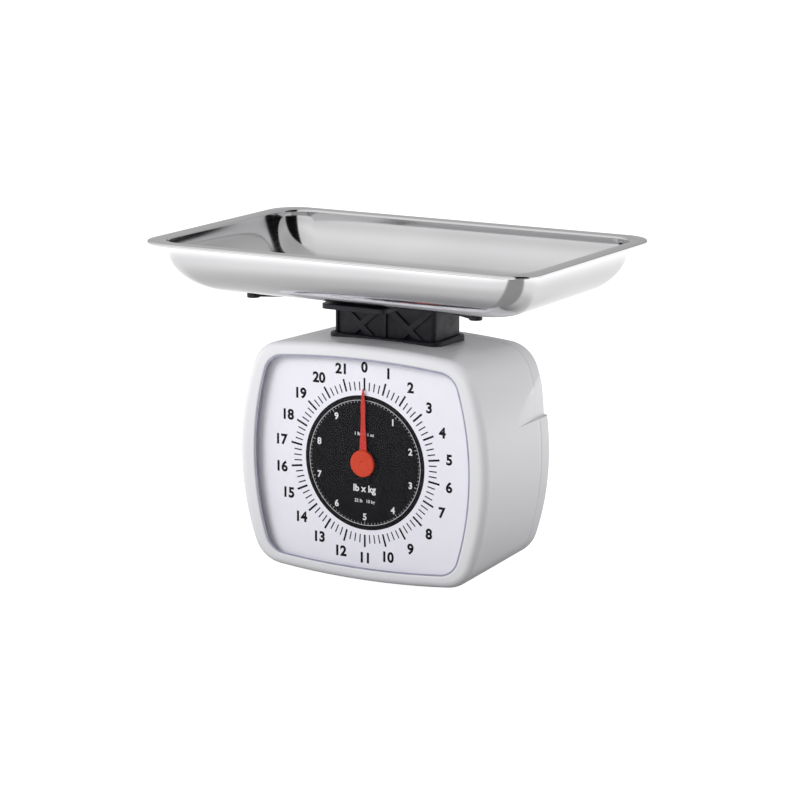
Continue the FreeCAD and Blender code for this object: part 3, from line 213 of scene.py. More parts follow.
def clear_plastic():
    """The window: almost wholly clear, with a gloss that varies slightly."""
    made, shader = material("clear_styrene", (0.03, 0.03, 0.04), 0.08, Alpha=0.045,
                            Specular_IOR_Level=0.8)
    link(made, ramp(made, grain(made, 40, 4), 0.05, 0.12), shader.inputs["Roughness"])
    return made


MATERIALS = {
    "white_housing": white_plastic(),
    "clear_lens": clear_plastic(),
    "dial_face": paint("dial_enamel", (0.90, 0.89, 0.97), (0.92, 0.91, 0.99), 0.45),
    "black_plastic": black_plastic("black_abs", (0.0080, 0.0075, 0.0115), 900),
    "rubber": rubber(),
    "zinc_steel": metal("zinc_plate", (0.55, 0.55, 0.57), (0.66, 0.66, 0.66), 0.32, (1, 1, 8)),
    "brass": metal("brass", (0.62, 0.46, 0.21), (0.72, 0.56, 0.28), 0.25, (1, 8, 1)),
    "spring_steel": metal("spring_wire", (0.33, 0.33, 0.35), (0.42, 0.42, 0.44), 0.3),
    "red_pointer": paint("red_paint", (0.55, 0.03, 0.02), (0.62, 0.04, 0.03), 0.4, shine=0.3),
    "red_cap": paint("red_moulding", (0.62, 0.045, 0.012), (0.68, 0.055, 0.018), 0.35, shine=0.3),
    "polished_stainless": polished_steel(),
}
BLACK_INK = paint("black_ink", (0.004, 0.004, 0.005), (0.007, 0.007, 0.008), 0.6, shine=0.12)
# painted shade: the grey ring round the window's edge stands in for the shadow in the groove
# between bezel and dial
GROOVE_SHADE_PAINT = paint("painted_groove_shade", (0.25, 0.25, 0.34), (0.33, 0.33, 0.43), 0.45)
WHITE_INK = paint("white_ink", (0.80, 0.80, 0.84), (0.86, 0.86, 0.89), 0.5)

# the CAD nodes that stay in view take the finish of their own slot
for entry in frame["record"]["subparts"]:
    cad_node = frame["nodes"][entry["node"]]
    cad_node.data.materials.clear()
    cad_node.data.materials.append(MATERIALS[entry["material_slot"]])


# ---------------------------------------------------------------- mesh helpers

WELD = 1e-6
FLAT_ANGLE, BEVEL_ANGLE, SHARP_ANGLE = 1.0, 35, 40


def shaded(mesh, sharp):
    """Smooth shading, broken at edges sharper than an angle in degrees."""
    for face in mesh.polygons:
        face.use_smooth = True
    mesh.set_sharp_from_angle(angle=math.radians(sharp))


def new_piece(name, mesh, body, slot, replaced=(), finish=None, sharp=30):
    """Put a finished mesh in the scene as a piece that rides on a body."""
    piece = bpy.data.objects.new(name, mesh)
    bpy.context.scene.collection.objects.link(piece)
    mesh.materials.clear()
    mesh.materials.append(finish or MATERIALS[slot])
    shaded(mesh, sharp)
    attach(piece, body)
    if replaced:
        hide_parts(*replaced)
    return piece


def mesh_from(name, verts, faces):
    """A mesh whose faces all look outwards."""
    mesh = bpy.data.meshes.new(name)
    mesh.from_pydata(verts, [], faces)
    mesh.validate()
    fix = bmesh.new()
    fix.from_mesh(mesh)
    bmesh.ops.recalc_face_normals(fix, faces=fix.faces)
    fix.to_mesh(mesh)
    fix.free()
    return mesh


def ring_mesh(name, rings, closed):
    """Skin equal rings of points; closed joins the last ring to the first, else both are capped."""
    count = len(rings[0])
    verts = [point for ring in rings for point in ring]
    faces = []
    spans = len(rings) if closed else len(rings) - 1
    for ring in range(spans):
        here, there = ring * count, (ring + 1) % len(rings) * count
        for index in range(count):
            after = (index + 1) % count
            faces.append((here + index, here + after, there + after, there + index))
    if not closed:
        faces.append(tuple(range(count)))
        faces.append(tuple(reversed(range((len(rings) - 1) * count, len(rings) * count))))
    return mesh_from(name, verts, faces)


def applied(piece):
    """Bake a piece's modifiers into its mesh."""
    graph = bpy.context.evaluated_depsgraph_get()
    baked = bpy.data.meshes.new_from_object(piece.evaluated_get(graph))
    piece.modifiers.clear()
    piece.data = baked


def carved(mesh, cutters, additions=()):
    """The mesh with the additions joined on and the cutter meshes taken away."""
    base = bpy.data.objects.new("carve_base", mesh)
    bpy.context.scene.collection.objects.link(base)
    tools = []
    steps = [(added, "UNION") for added in additions] + [(cut, "DIFFERENCE") for cut in cutters]
    for shape, operation in steps:
        tool = bpy.data.objects.new("carve_tool", shape)
        bpy.context.scene.collection.objects.link(tool)
        tools.append(tool)
        cutting = base.modifiers.new("carve", "BOOLEAN")
        cutting.object = tool
        cutting.operation = operation
        cutting.solver = "EXACT"
    bpy.context.view_layer.update()
    applied(base)
    result = base.data
    for thing in [base] + tools:
        bpy.data.objects.remove(thing)
    return result


def bevelled_copy(name, cad, body, slot, width, segments):
    """A CAD node's shape with every hard edge softened, standing for the node."""
    welded = bmesh.new()
    welded.from_mesh(frame["nodes"][cad].data)
    bmesh.ops.remove_doubles(welded, verts=welded.verts, dist=WELD)
    bmesh.ops.dissolve_limit(welded, angle_limit=math.radians(FLAT_ANGLE),
                             verts=welded.verts, edges=welded.edges)
    mesh = bpy.data.meshes.new(name)
    welded.to_mesh(mesh)
    welded.free()
    piece = new_piece(name, mesh, body, slot, [cad])
    soften = piece.modifiers.new("soften", "BEVEL")
    soften.width = width
    soften.segments = segments
    soften.limit_method = "ANGLE"
    soften.angle_limit = math.radians(BEVEL_ANGLE)
    bpy.context.view_layer.update()
    applied(piece)
    shaded(piece.data, SHARP_ANGLE)


def circle_points(radius, count):
    return [(radius * math.cos(2 * math.pi * step / count),
             radius * math.sin(2 * math.pi * step / count)) for step in range(count)]


def turned_mesh(name, profile, centre, count):
    """A lathe body: (radius, along) profile points about a line along Y through the centre.

    The profile starts and ends on the axis, so its first and last rings become tips.
    """
    centre = Vector(centre)
    along, first = Vector((0, 1, 0)), Vector((1, 0, 0))
    second = along.cross(first)
    verts = [tuple(centre + along * profile[0][1])]
    inner = profile[1:-1]
    for radius, height in inner:
        for x, y in circle_points(radius, count):
            verts.append(tuple(centre + first * x + second * y + along * height))
    verts.append(tuple(centre + along * profile[-1][1]))
    faces = []
    for index in range(count):
        after = (index + 1) % count
        faces.append((0, 1 + after, 1 + index))
        for ring in range(len(inner) - 1):
            here, there = 1 + ring * count, 1 + (ring + 1) * count
            faces.append((here + index, here + after, there + after, there + index))
        last = 1 + (len(inner) - 1) * count
        faces.append((last + index, last + after, len(verts) - 1))
    return mesh_from(name, verts, faces)


# ---------------------------------------------------------------- outlines

def quarter_steps(count):
    """Equal turns from nought to a right angle."""
    return [math.pi / 2 * step / count for step in range(count + 1)]


def meeting_point(side, side_reach, top, top_reach):
    """Where two circles cross, which is the centre of the corner arc between two sides."""
    gap = math.dist(side, top)
    along = (side_reach ** 2 - top_reach ** 2 + gap ** 2) / (2 * gap)
    across = math.sqrt(side_reach ** 2 - along ** 2)
    unit = ((top[0] - side[0]) / gap, (top[1] - side[1]) / gap)
    return (side[0] + along * unit[0] - across * unit[1],
            side[1] + along * unit[1] + across * unit[0])


def arc(centre, radius, start, end, count):
    """Points from one angle towards another, without the last."""
    return [(centre[0] + radius * math.cos(start + (end - start) * step / count),
             centre[1] + radius * math.sin(start + (end - start) * step / count))
            for step in range(count)]


def pillow(width, height, level, side_arc, top_arc, corner_arc, side_n=40, top_n=24, corner_n=14):
    """Points round a rounded square with bowed sides, counter-clockwise from lower right."""
    side, top = (width - side_arc, 0.0), (0.0, height - top_arc)
    corner = meeting_point(side, side_arc - corner_arc, top, top_arc - corner_arc)
    lean = math.atan2(corner[1], corner[0] - side[0])
    rise = math.atan2(corner[1] - top[1], corner[0])
    quarter = math.pi / 2
    points = arc(side, side_arc, -lean, lean, side_n)
    points += arc(corner, corner_arc, lean, rise, corner_n)
    points += arc(top, top_arc, rise, 2 * quarter - rise, top_n)
    points += arc((-corner[0], corner[1]), corner_arc, 2 * quarter - rise, 2 * quarter - lean,
                  corner_n)
    points += arc((-side[0], 0.0), side_arc, 2 * quarter - lean, 2 * quarter + lean, side_n)
    points += arc((-corner[0], -corner[1]), corner_arc, 2 * quarter + lean, 2 * quarter + rise,
                  corner_n)
    points += arc((0.0, -top[1]), top_arc, 2 * quarter + rise, 4 * quarter - rise, top_n)
    points += arc((corner[0], -corner[1]), corner_arc, 4 * quarter - rise, 4 * quarter - lean,
                  corner_n)
    return [(x, level + z) for x, z in points]


def housing_ring(y, inset):
    """The housing's outline at a depth, drawn in by an inset."""
    share = (y - FRONT_Y) / (REAR_Y - FRONT_Y)
    points = pillow(
        HALF_WIDTH - inset - REAR_INSET * share,
        HALF_HEIGHT - inset - (REAR_DROP + REAR_RISE) / 2 * share,
        DIAL_Z + (REAR_RISE - REAR_DROP) / 2 * share,
        SIDE_ARC - inset, TOP_ARC - inset, max(CORNER_ARC - inset, LEAST_CORNER))
    return [Vector((x, y, z)) for x, z in points]


def window_ring(y, outset):
    """The dial opening's outline at a depth, let out by an outset."""
    points = pillow(WINDOW_WIDTH + outset, WINDOW_HEIGHT + outset, DIAL_Z,
                    WINDOW_SIDE_ARC + outset, WINDOW_TOP_ARC + outset, WINDOW_CORNER + outset)
    return [Vector((x, y, z)) for x, z in points]


def between_rings(first, second, share):
    return [a.lerp(b, share) for a, b in zip(first, second)]


def grip_reach(y, z):
    """How far out a hand grip's flat face stands at a depth and a height."""
    share = (y - FRONT_Y) / (REAR_Y - FRONT_Y)
    rise = GRIP_BOTTOM - DIAL_Z
    bow = SIDE_ARC - math.sqrt(SIDE_ARC ** 2 - rise ** 2)
    sunk = GRIP_DEPTH * y / REAR_DEPTH + (z - GRIP_BOTTOM) * GRIP_LEAN
    return HALF_WIDTH - REAR_INSET * share - bow - sunk


def cavity_ring(y, thick_grips):
    """The inside of the wall at a depth, standing clear of the hand grips."""
    ring = housing_ring(y, WALL)
    if thick_grips:
        for point in ring:
            if point.z > GRIP_BOTTOM - WALL:
                reach = min(abs(point.x), grip_reach(y, point.z) - WALL)
                point.x = math.copysign(reach, point.x)
    return ring


def grip_block(side):
    """What both shells lose to one hand grip; its long lower edge is slightly rounded."""
    low_y, high_y = GRIP_START, REAR_Y + CLEAR
    high_z, out = DIAL_Z + HALF_HEIGHT + PAST, HALF_WIDTH + PAST
    ease = GRIP_EASE
    rings = []
    for y in (low_y, high_y):
        section = [(out, GRIP_BOTTOM), (grip_reach(y, GRIP_BOTTOM) + ease, GRIP_BOTTOM)]
        section += [(grip_reach(y, GRIP_BOTTOM) + ease * (1 - math.sin(turn)),
                     GRIP_BOTTOM + ease * (1 - math.cos(turn))) for turn in quarter_steps(4)]
        section += [(grip_reach(y, high_z), high_z), (out, high_z)]
        rings.append([Vector((x * side, y, z)) for x, z in section])
    return ring_mesh("grip_block", rings, False)


def rounded_rectangle(half_x, half_y, radius, z, edge_n=12, corner_n=10):
    """Points round a rectangle with round corners, level at a height."""
    points = []
    quarter = math.pi / 2
    corners = [(1, 1), (-1, 1), (-1, -1), (1, -1)]
    for index, (sx, sy) in enumerate(corners):
        centre = (sx * (half_x - radius), sy * (half_y - radius))
        points += arc(centre, radius, quarter * index, quarter * (index + 1), corner_n)
        turn = quarter * (index + 1)
        start = Vector((centre[0] + radius * math.cos(turn),
                        centre[1] + radius * math.sin(turn)))
        nx, ny = corners[(index + 1) % 4]
        following = Vector((nx * (half_x - radius) + radius * math.cos(turn),
                            ny * (half_y - radius) + radius * math.sin(turn)))
        points += [tuple(start.lerp(following, step / edge_n)) for step in range(edge_n)]
    return [Vector((x, y, z)) for x, y in points]


# ---------------------------------------------------------------- housing shells

SEAM_ROUND = 0.0004
SEAM_GAP = 0.0001
WINDOW_ROUND = 0.0012
WINDOW_STEP = 0.0006
OPENING_LIP, OPENING_CORNER, OPENING_DROP = 0.002, 0.006, 0.006


def edge_rings(y, towards, radius, count):
    """The rounding of the outer skin at a flat end, from the flat face to the full outline."""
    return [housing_ring(y + towards * radius * (1 - math.cos(turn)),
                         radius * (1 - math.sin(turn))) for turn in quarter_steps(count)]


def side_rings(start, end, count):
    """The outer skin between two depths, without its ends."""
    return [housing_ring(start + (end - start) * step / count, 0) for step in range(1, count)]


def front_housing_mesh():
    """The front shell as one closed skin: rim, bezel, window edge and the inside of the wall."""
    rings = edge_rings(SEAM_Y, -1, SEAM_ROUND, 3)
    rim = FRONT_Y + EDGE_ROUND
    rings += side_rings(SEAM_Y - SEAM_ROUND, rim, 14)
    rings += reversed(edge_rings(FRONT_Y, 1, EDGE_ROUND, 12))
    flat, mouth = rings[-1], window_ring(FRONT_Y, WINDOW_ROUND)
    rings += [between_rings(flat, mouth, share) for share in (0.25, 0.5, 0.75)]
    for turn in quarter_steps(5):
        rings.append(window_ring(FRONT_Y + WINDOW_ROUND * (1 - math.cos(turn)),
                                 WINDOW_ROUND * (1 - math.sin(turn))))
    inner = FRONT_Y + WALL
    rings.append(window_ring(inner - WINDOW_STEP, 0))
    rings.append(window_ring(inner, 0))
    rings.append(cavity_ring(inner, False))
    rings.append(cavity_ring(SEAM_Y, True))
    return ring_mesh("front_shell", rings, True)


def rod_mesh(centre, radius, low, high, count=48):
    """A round bar along Y, used only to carve or to stand behind something."""
    x0, z0 = centre
    rings = [[Vector((x0 + x, y, z0 + z)) for x, z in circle_points(radius, count)]
             for y in (low, high)]
    return ring_mesh("rod", rings, False)


def block_mesh(x, y, z):
    """A box between three pairs of limits, used only to carve."""
    corners = [(x[i], y[j], z[k]) for i in (0, 1) for j in (0, 1) for k in (0, 1)]
    faces = [(0, 1, 3, 2), (4, 6, 7, 5), (0, 4, 5, 1), (2, 3, 7, 6), (0, 2, 6, 4), (1, 5, 7, 3)]
    return mesh_from("block", corners, faces)


def build_front_housing():
    half_x, half_y = collar_high.x - OPENING_LIP, collar_high.y - OPENING_LIP
    opening = ring_mesh("opening", [
        rounded_rectangle(half_x, half_y, OPENING_CORNER, collar_low.z - OPENING_DROP),
        rounded_rectangle(half_x, half_y, OPENING_CORNER, collar_high.z + PAST)], False)
    mesh = carved(front_housing_mesh(), [opening, grip_block(1), grip_block(-1)])
    new_piece("housing_shell", mesh, "housing", "white_housing", ["front_housing"])


POST_SPREAD, POST_RISE, POST_RADIUS = 0.080, 0.058, 0.0055
RECESS_RADIUS, RECESS_SINK, SCREW_HOLE = 0.0038, 0.009, 0.0018
SLOT_HALF, SLOT_DEPTH, SLOT_PAST = 0.015, 0.0045, 0.003
OVERLAP = 0.001


def rear_cover_mesh():
    """The rear shell as one closed skin, open towards the seam."""
    seam = SEAM_Y + SEAM_GAP
    inside = REAR_Y - WALL
    rings = [cavity_ring(inside, True), cavity_ring(seam, True)]
    rings += edge_rings(seam, 1, SEAM_ROUND, 3)
    rings += side_rings(seam + SEAM_ROUND, REAR_Y - EDGE_ROUND, 5)
    rings += reversed(edge_rings(REAR_Y, -1, EDGE_ROUND, 12))
    return ring_mesh("cover_shell", rings, False)


def build_rear_cover():
    wheel_low, wheel_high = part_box("zero_thumbwheel")
    seam = SEAM_Y + SEAM_GAP
    posts, cutters = [], [grip_block(1), grip_block(-1)]
    for side in (1, -1):
        for rise in (1, -1):
            centre = (POST_SPREAD * side, DIAL_Z + POST_RISE * rise)
            posts.append(rod_mesh(centre, POST_RADIUS, seam, REAR_Y - WALL / 2))
            cutters.append(rod_mesh(centre, RECESS_RADIUS, REAR_Y - RECESS_SINK, REAR_Y + PAST))
            cutters.append(rod_mesh(centre, SCREW_HOLE, seam - OVERLAP,
                                    REAR_Y - RECESS_SINK + OVERLAP))
    cutters.append(block_mesh((-SLOT_HALF, SLOT_HALF), (REAR_Y - SLOT_DEPTH, REAR_Y + SLOT_PAST),
                              (wheel_low.z - OVERLAP, wheel_high.z + OVERLAP)))
    mesh = carved(rear_cover_mesh(), cutters, posts)
    new_piece("cover_shell", mesh, "housing", "white_housing", ["rear_cover"])


LENS_EDGE = 0.00035
BORDER_INNER, BORDER_OUTER, BORDER_THICK = -0.0012, 0.0004, 0.00005


def build_lens():
    back, edge = lens_high.y, LENS_EDGE
    outset = lens_high.x - WINDOW_WIDTH
    rings = [window_ring(back, outset - edge), window_ring(back - edge, outset),
             window_ring(LENS_FRONT + edge, outset), window_ring(LENS_FRONT, outset - edge)]
    mesh = ring_mesh("lens_pane", rings, False)
    new_piece("lens_pane", mesh, "housing", "clear_lens", ["lens"])


def build_lens_border():
    """A grey ring round the edge of the clear pane: painted shade where the window groove's shadow
    falls.
    """
    front = LENS_FRONT - BORDER_THICK
    rings = [window_ring(LENS_FRONT, BORDER_INNER), window_ring(LENS_FRONT, BORDER_OUTER),
             window_ring(front, BORDER_OUTER), window_ring(front, BORDER_INNER)]
    mesh = ring_mesh("lens_groove_shade", rings, True)
    new_piece("lens_groove_shade", mesh, "housing", "clear_lens", finish=GROOVE_SHADE_PAINT)


build_front_housing()
build_rear_cover()
build_lens()
build_lens_border()


# ---------------------------------------------------------------- dial and its print

INK = 0.00006
DISC_RADIUS, DIAL_BORE, DIAL_EDGE = 0.0503, 0.003, 0.0003
MAJOR_STEPS, FINE_STEPS, KILO_STEPS = 22, 4, 10
TICK_START, MAJOR_END, FINE_END = 0.0540, 0.0634, 0.0604
MAJOR_HALF, FINE_HALF = 0.00075, 0.00045
FIGURE_RADIUS, FIGURE_HEIGHT, FIGURE_WEIGHT = 0.0714, 0.0074, 0.00042
KILO_RADIUS, KILO_HEIGHT, KILO_WEIGHT = 0.0405, 0.0048, 0.0002
KILO_RING, KILO_TICK_END, KILO_TICK_HALF = (0.0466, 0.0469), 0.0462, 0.00012
KILO_MAJOR_START, KILO_FINE_START = 0.0440, 0.0450
UNIT_HEIGHT, SMALL_HEIGHT, SMALL_WEIGHT = 0.0050, 0.0024, 0.00005
UNIT_DROP, CAPACITY_DROP, EQUAL_RISE = 0.0200, 0.0290, 0.0215
FIGURE_SHARE = 0.7  # a figure's height as a share of the type size


def dial_point(radius, degrees, y):
    """A point on the dial, clockwise from the top as seen from the front."""
    turn = math.radians(degrees)
    return Vector((radius * math.sin(turn), y, DIAL_Z + radius * math.cos(turn)))


def build_dial_plate():
    outset = dial_high.x - WINDOW_WIDTH
    rings = [window_ring(dial_high.y, outset), window_ring(DIAL_Y + DIAL_EDGE, outset),
             window_ring(DIAL_Y, outset - DIAL_EDGE)]
    mesh = carved(ring_mesh("dial_panel", rings, False),
                  [rod_mesh((0, DIAL_Z), DIAL_BORE, DIAL_Y - CLEAR, dial_high.y + CLEAR)])
    new_piece("dial_panel", mesh, "housing", "dial_face", ["dial_plate"])


def annulus_mesh(inner, outer, back, front, count=180):
    """A flat ring of ink round the dial's middle."""
    rings = []
    for radius, y in ((inner, back), (outer, back), (outer, front), (inner, front)):
        rings.append([dial_point(radius, 360 * step / count, y) for step in range(count)])
    return ring_mesh("annulus", rings, True)


def joined(name, meshes):
    """Several closed meshes in one."""
    whole = bmesh.new()
    for mesh in meshes:
        whole.from_mesh(mesh)
    result = bpy.data.meshes.new(name)
    whole.to_mesh(result)
    whole.free()
    return result


def tick_mesh(degrees, inner, outer, half_width, back, front):
    """One straight mark, pointing at the dial's middle."""
    turn = math.radians(degrees)
    across = Vector((math.cos(turn), 0, -math.sin(turn))) * half_width
    rings = []
    for y in (back, front):
        near, far = dial_point(inner, degrees, y), dial_point(outer, degrees, y)
        rings.append([near - across, near + across, far + across, far - across])
    return ring_mesh("tick", rings, False)


def text_mesh(body, height, centre, y, weight):
    """Upright figures standing slightly proud of the dial."""
    curve = bpy.data.curves.new("figure", "FONT")
    curve.body = body
    curve.size = height / FIGURE_SHARE
    curve.offset = weight
    curve.extrude = INK / 2
    curve.resolution_u = 4
    curve.align_x = "CENTER"
    figure = bpy.data.objects.new("figure", curve)
    bpy.context.scene.collection.objects.link(figure)
    bpy.context.view_layer.update()
    graph = bpy.context.evaluated_depsgraph_get()
    mesh = bpy.data.meshes.new_from_object(figure.evaluated_get(graph))
    low = min(vert.co.y for vert in mesh.vertices)
    high = max(vert.co.y for vert in mesh.vertices)
    left = min(vert.co.x for vert in mesh.vertices)
    right = max(vert.co.x for vert in mesh.vertices)
    back = min(vert.co.z for vert in mesh.vertices)
    for vert in mesh.vertices:
        x, up, out = vert.co
        vert.co = (x - (left + right) / 2 + centre[0], y - (out - back),
                   up - (low + high) / 2 + centre[2])
    bpy.data.objects.remove(figure)
    tidy = bmesh.new()
    tidy.from_mesh(mesh)
    bmesh.ops.remove_doubles(tidy, verts=tidy.verts, dist=1e-7)
    bmesh.ops.recalc_face_normals(tidy, faces=tidy.faces)
    tidy.to_mesh(mesh)
    tidy.free()
    return mesh


def build_dial_print():
    top = DIAL_Y - INK
    proud = top - INK
    disc = annulus_mesh(DIAL_BORE, DISC_RADIUS, DIAL_Y, top)
    new_piece("dial_disc_print", disc, "housing", "dial_face", finish=BLACK_INK)

    ticks = []
    for step in range(MAJOR_STEPS * FINE_STEPS):
        end, half = (FINE_END, FINE_HALF) if step % FINE_STEPS else (MAJOR_END, MAJOR_HALF)
        ticks.append(tick_mesh(360 * step / (MAJOR_STEPS * FINE_STEPS), TICK_START, end, half,
                               DIAL_Y, top))
    new_piece("dial_ticks_print", joined("ticks", ticks), "housing", "dial_face",
              finish=BLACK_INK)

    figures = []
    for number in range(MAJOR_STEPS):
        centre = dial_point(FIGURE_RADIUS, 360 * number / MAJOR_STEPS, 0)
        figures.append(text_mesh(str(number), FIGURE_HEIGHT, centre, DIAL_Y, FIGURE_WEIGHT))
    new_piece("dial_figures_print", joined("figures", figures), "housing", "dial_face",
              finish=BLACK_INK)

    light = [annulus_mesh(*KILO_RING, top, proud)]
    for number in range(1, KILO_STEPS):
        centre = dial_point(KILO_RADIUS, 360 * number / KILO_STEPS, 0)
        light.append(text_mesh(str(number), KILO_HEIGHT, centre, top, KILO_WEIGHT))
    for step in range(KILO_STEPS * 10):
        start = KILO_FINE_START if step % 10 else KILO_MAJOR_START
        light.append(tick_mesh(360 * step / (KILO_STEPS * 10), start, KILO_TICK_END,
                               KILO_TICK_HALF, top, proud))
    for words, height, radius, degrees, weight in (
            ("lb x kg", UNIT_HEIGHT, UNIT_DROP, 180, KILO_WEIGHT),
            ("22 lb   10 kg", SMALL_HEIGHT, CAPACITY_DROP, 180, SMALL_WEIGHT),
            ("1 lb = 16 oz", SMALL_HEIGHT, EQUAL_RISE, 0, SMALL_WEIGHT)):
        light.append(text_mesh(words, height, dial_point(radius, degrees, 0), top, weight))
    new_piece("dial_light_print", joined("light_marks", light), "housing", "dial_face",
              finish=WHITE_INK)


build_dial_plate()
build_dial_print()


# ---------------------------------------------------------------- pointer

NEEDLE_REACH, NEEDLE_ROOT, NEEDLE_EDGE, NEEDLE_BORE = 0.0556, 0.0036, 0.00015, 0.0014
NEEDLE_STATIONS = ((0.0, NEEDLE_ROOT), (0.010, 0.0030), (0.030, 0.0019), (0.036, 0.0018),
                   (0.042, 0.00205), (0.047, 0.0016), (0.0530, 0.0008), (NEEDLE_REACH, 0.0003))
NEEDLE_STEPS, HUB_STEPS = 40, 48
HUB_RADIUS, HUB_JOIN = 0.0098, 0.0094


def outline_plate(name, outline, back, front, edge):
    """A thin plate with eased edges: outline gives (x, z, inward x, inward z) points."""
    rings = [[Vector((x + ix * edge, back, z + iz * edge)) for x, z, ix, iz in outline],
             [Vector((x, back - edge, z)) for x, z, _, _ in outline],
             [Vector((x, front + edge, z)) for x, z, _, _ in outline],
             [Vector((x + ix * edge, front, z + iz * edge)) for x, z, ix, iz in outline]]
    return ring_mesh(name, rings, False)


def needle_half_width(reach):
    """Half the needle's width along its length: tapered, with a slight spear before the tip."""
    for (near, wide), (far, narrow) in zip(NEEDLE_STATIONS, NEEDLE_STATIONS[1:]):
        if reach <= far:
            return wide + (narrow - wide) * (reach - near) / (far - near)
    return NEEDLE_STATIONS[-1][1]


def build_pointer():
    reaches = [NEEDLE_REACH * step / NEEDLE_STEPS for step in range(NEEDLE_STEPS + 1)]
    right = [(needle_half_width(reach), DIAL_Z + reach, -1, 0) for reach in reaches]
    left = [(-x, z, 1, 0) for x, z, _, _ in reversed(right)]
    hub = []
    start = math.acos(NEEDLE_ROOT / HUB_RADIUS)
    for step in range(HUB_STEPS + 1):
        turn = math.pi - start + (2 * start + math.pi) * step / HUB_STEPS
        x, z = HUB_RADIUS * math.cos(turn), HUB_RADIUS * math.sin(turn)
        hub.append((x, DIAL_Z + z, -x / HUB_RADIUS, -z / HUB_RADIUS))
    right = [point for point in right if point[1] > DIAL_Z + HUB_JOIN]
    left = [point for point in left if point[1] > DIAL_Z + HUB_JOIN]
    mesh = outline_plate("needle", right + left + hub, pointer_high.y, pointer_low.y,
                         NEEDLE_EDGE)
    bore = rod_mesh((0, DIAL_Z), NEEDLE_BORE, pointer_low.y - PAST, pointer_high.y + PAST)
    new_piece("needle", carved(mesh, [bore]), "pointer", "red_pointer", ["pointer"])


CAP_EASE, CAP_BORE, CAP_SIDES = 0.0009, 0.0016, 128
CAP_DIMPLE = ((0, 0.0003), (0.0012, 0.0003), (0.0018, 0.0001), (0.0030, 0))
CAP_CROWN, CAP_SHOULDER = 0.00005, 0.001


def build_pointer_cap():
    radius, thick = cap_high.x, cap_high.y - cap_low.y
    profile = [(reach, -thick + sunk) for reach, sunk in CAP_DIMPLE]
    profile.append((radius - CAP_EASE - CAP_SHOULDER, -thick + CAP_CROWN))
    profile += [(radius - CAP_EASE * (1 - math.sin(turn)),
                 -thick + CAP_CROWN + CAP_EASE * (1 - math.cos(turn)))
                for turn in quarter_steps(6)]
    profile += [(radius, 0.0), (CAP_BORE, 0.0), (CAP_BORE, -thick * 0.5), (0, -thick * 0.5)]
    mesh = turned_mesh("hub_cap", profile, (0, cap_high.y, DIAL_Z), CAP_SIDES)
    new_piece("hub_cap", mesh, "pointer", "red_cap", ["pointer_cap"])


build_pointer()
build_pointer_cap()


# ---------------------------------------------------------------- column, platform, fixings

COLLAR_BAND, COLLAR_SLEEVE, COLLAR_CORNER = 0.0035, 0.0013, 0.0036
COLLAR_HEIGHT, COLLAR_ROUND, COLLAR_EDGE, COLLAR_MOUTH = 0.0049, 0.0014, 0.0003, 0.0004
COLLAR_OUTER_CORNER = 0.008


def build_collar():
    inner_x, inner_y = collar_high.x - COLLAR_BAND, collar_high.y - COLLAR_BAND
    sleeve_x, sleeve_y = inner_x + COLLAR_SLEEVE, inner_y + COLLAR_SLEEVE
    sleeve_corner = COLLAR_CORNER + COLLAR_SLEEVE
    low, seat, top = collar_low.z, collar_high.z - COLLAR_HEIGHT, collar_high.z
    outer_x, outer_y, corner = collar_high.x, collar_high.y, COLLAR_OUTER_CORNER
    rings = [rounded_rectangle(inner_x, inner_y, COLLAR_CORNER, low),
             rounded_rectangle(sleeve_x, sleeve_y, sleeve_corner, low),
             rounded_rectangle(sleeve_x, sleeve_y, sleeve_corner, seat),
             rounded_rectangle(outer_x - COLLAR_EDGE, outer_y - COLLAR_EDGE,
                               corner - COLLAR_EDGE, seat),
             rounded_rectangle(outer_x, outer_y, corner, seat + COLLAR_EDGE)]
    for turn in quarter_steps(6):
        inset = COLLAR_ROUND * (1 - math.cos(turn))
        rings.append(rounded_rectangle(outer_x - inset, outer_y - inset, corner - inset,
                                       top - COLLAR_ROUND * (1 - math.sin(turn))))
    rings += [rounded_rectangle(inner_x + COLLAR_MOUTH, inner_y + COLLAR_MOUTH,
                                COLLAR_CORNER + COLLAR_MOUTH, top),
              rounded_rectangle(inner_x, inner_y, COLLAR_CORNER, top - COLLAR_MOUTH)]
    mesh = ring_mesh("collar_ring", rings, True)
    new_piece("collar_ring", mesh, "housing", "black_plastic", ["column_collar"])


WHEEL_FLUTES, FLUTE_STEPS, WHEEL_CLEAR, WHEEL_EASE = 28, 12, 0.0001, 0.0007
FLUTE_DEPTH, FLUTE_FOOT, WHEEL_BORE = 0.0009, 0.0006, 0.002
WHEEL_DISH = ((0.011, 0), (0.010, 0.0006), (0.005, 0.0006), (0.0045, 0))


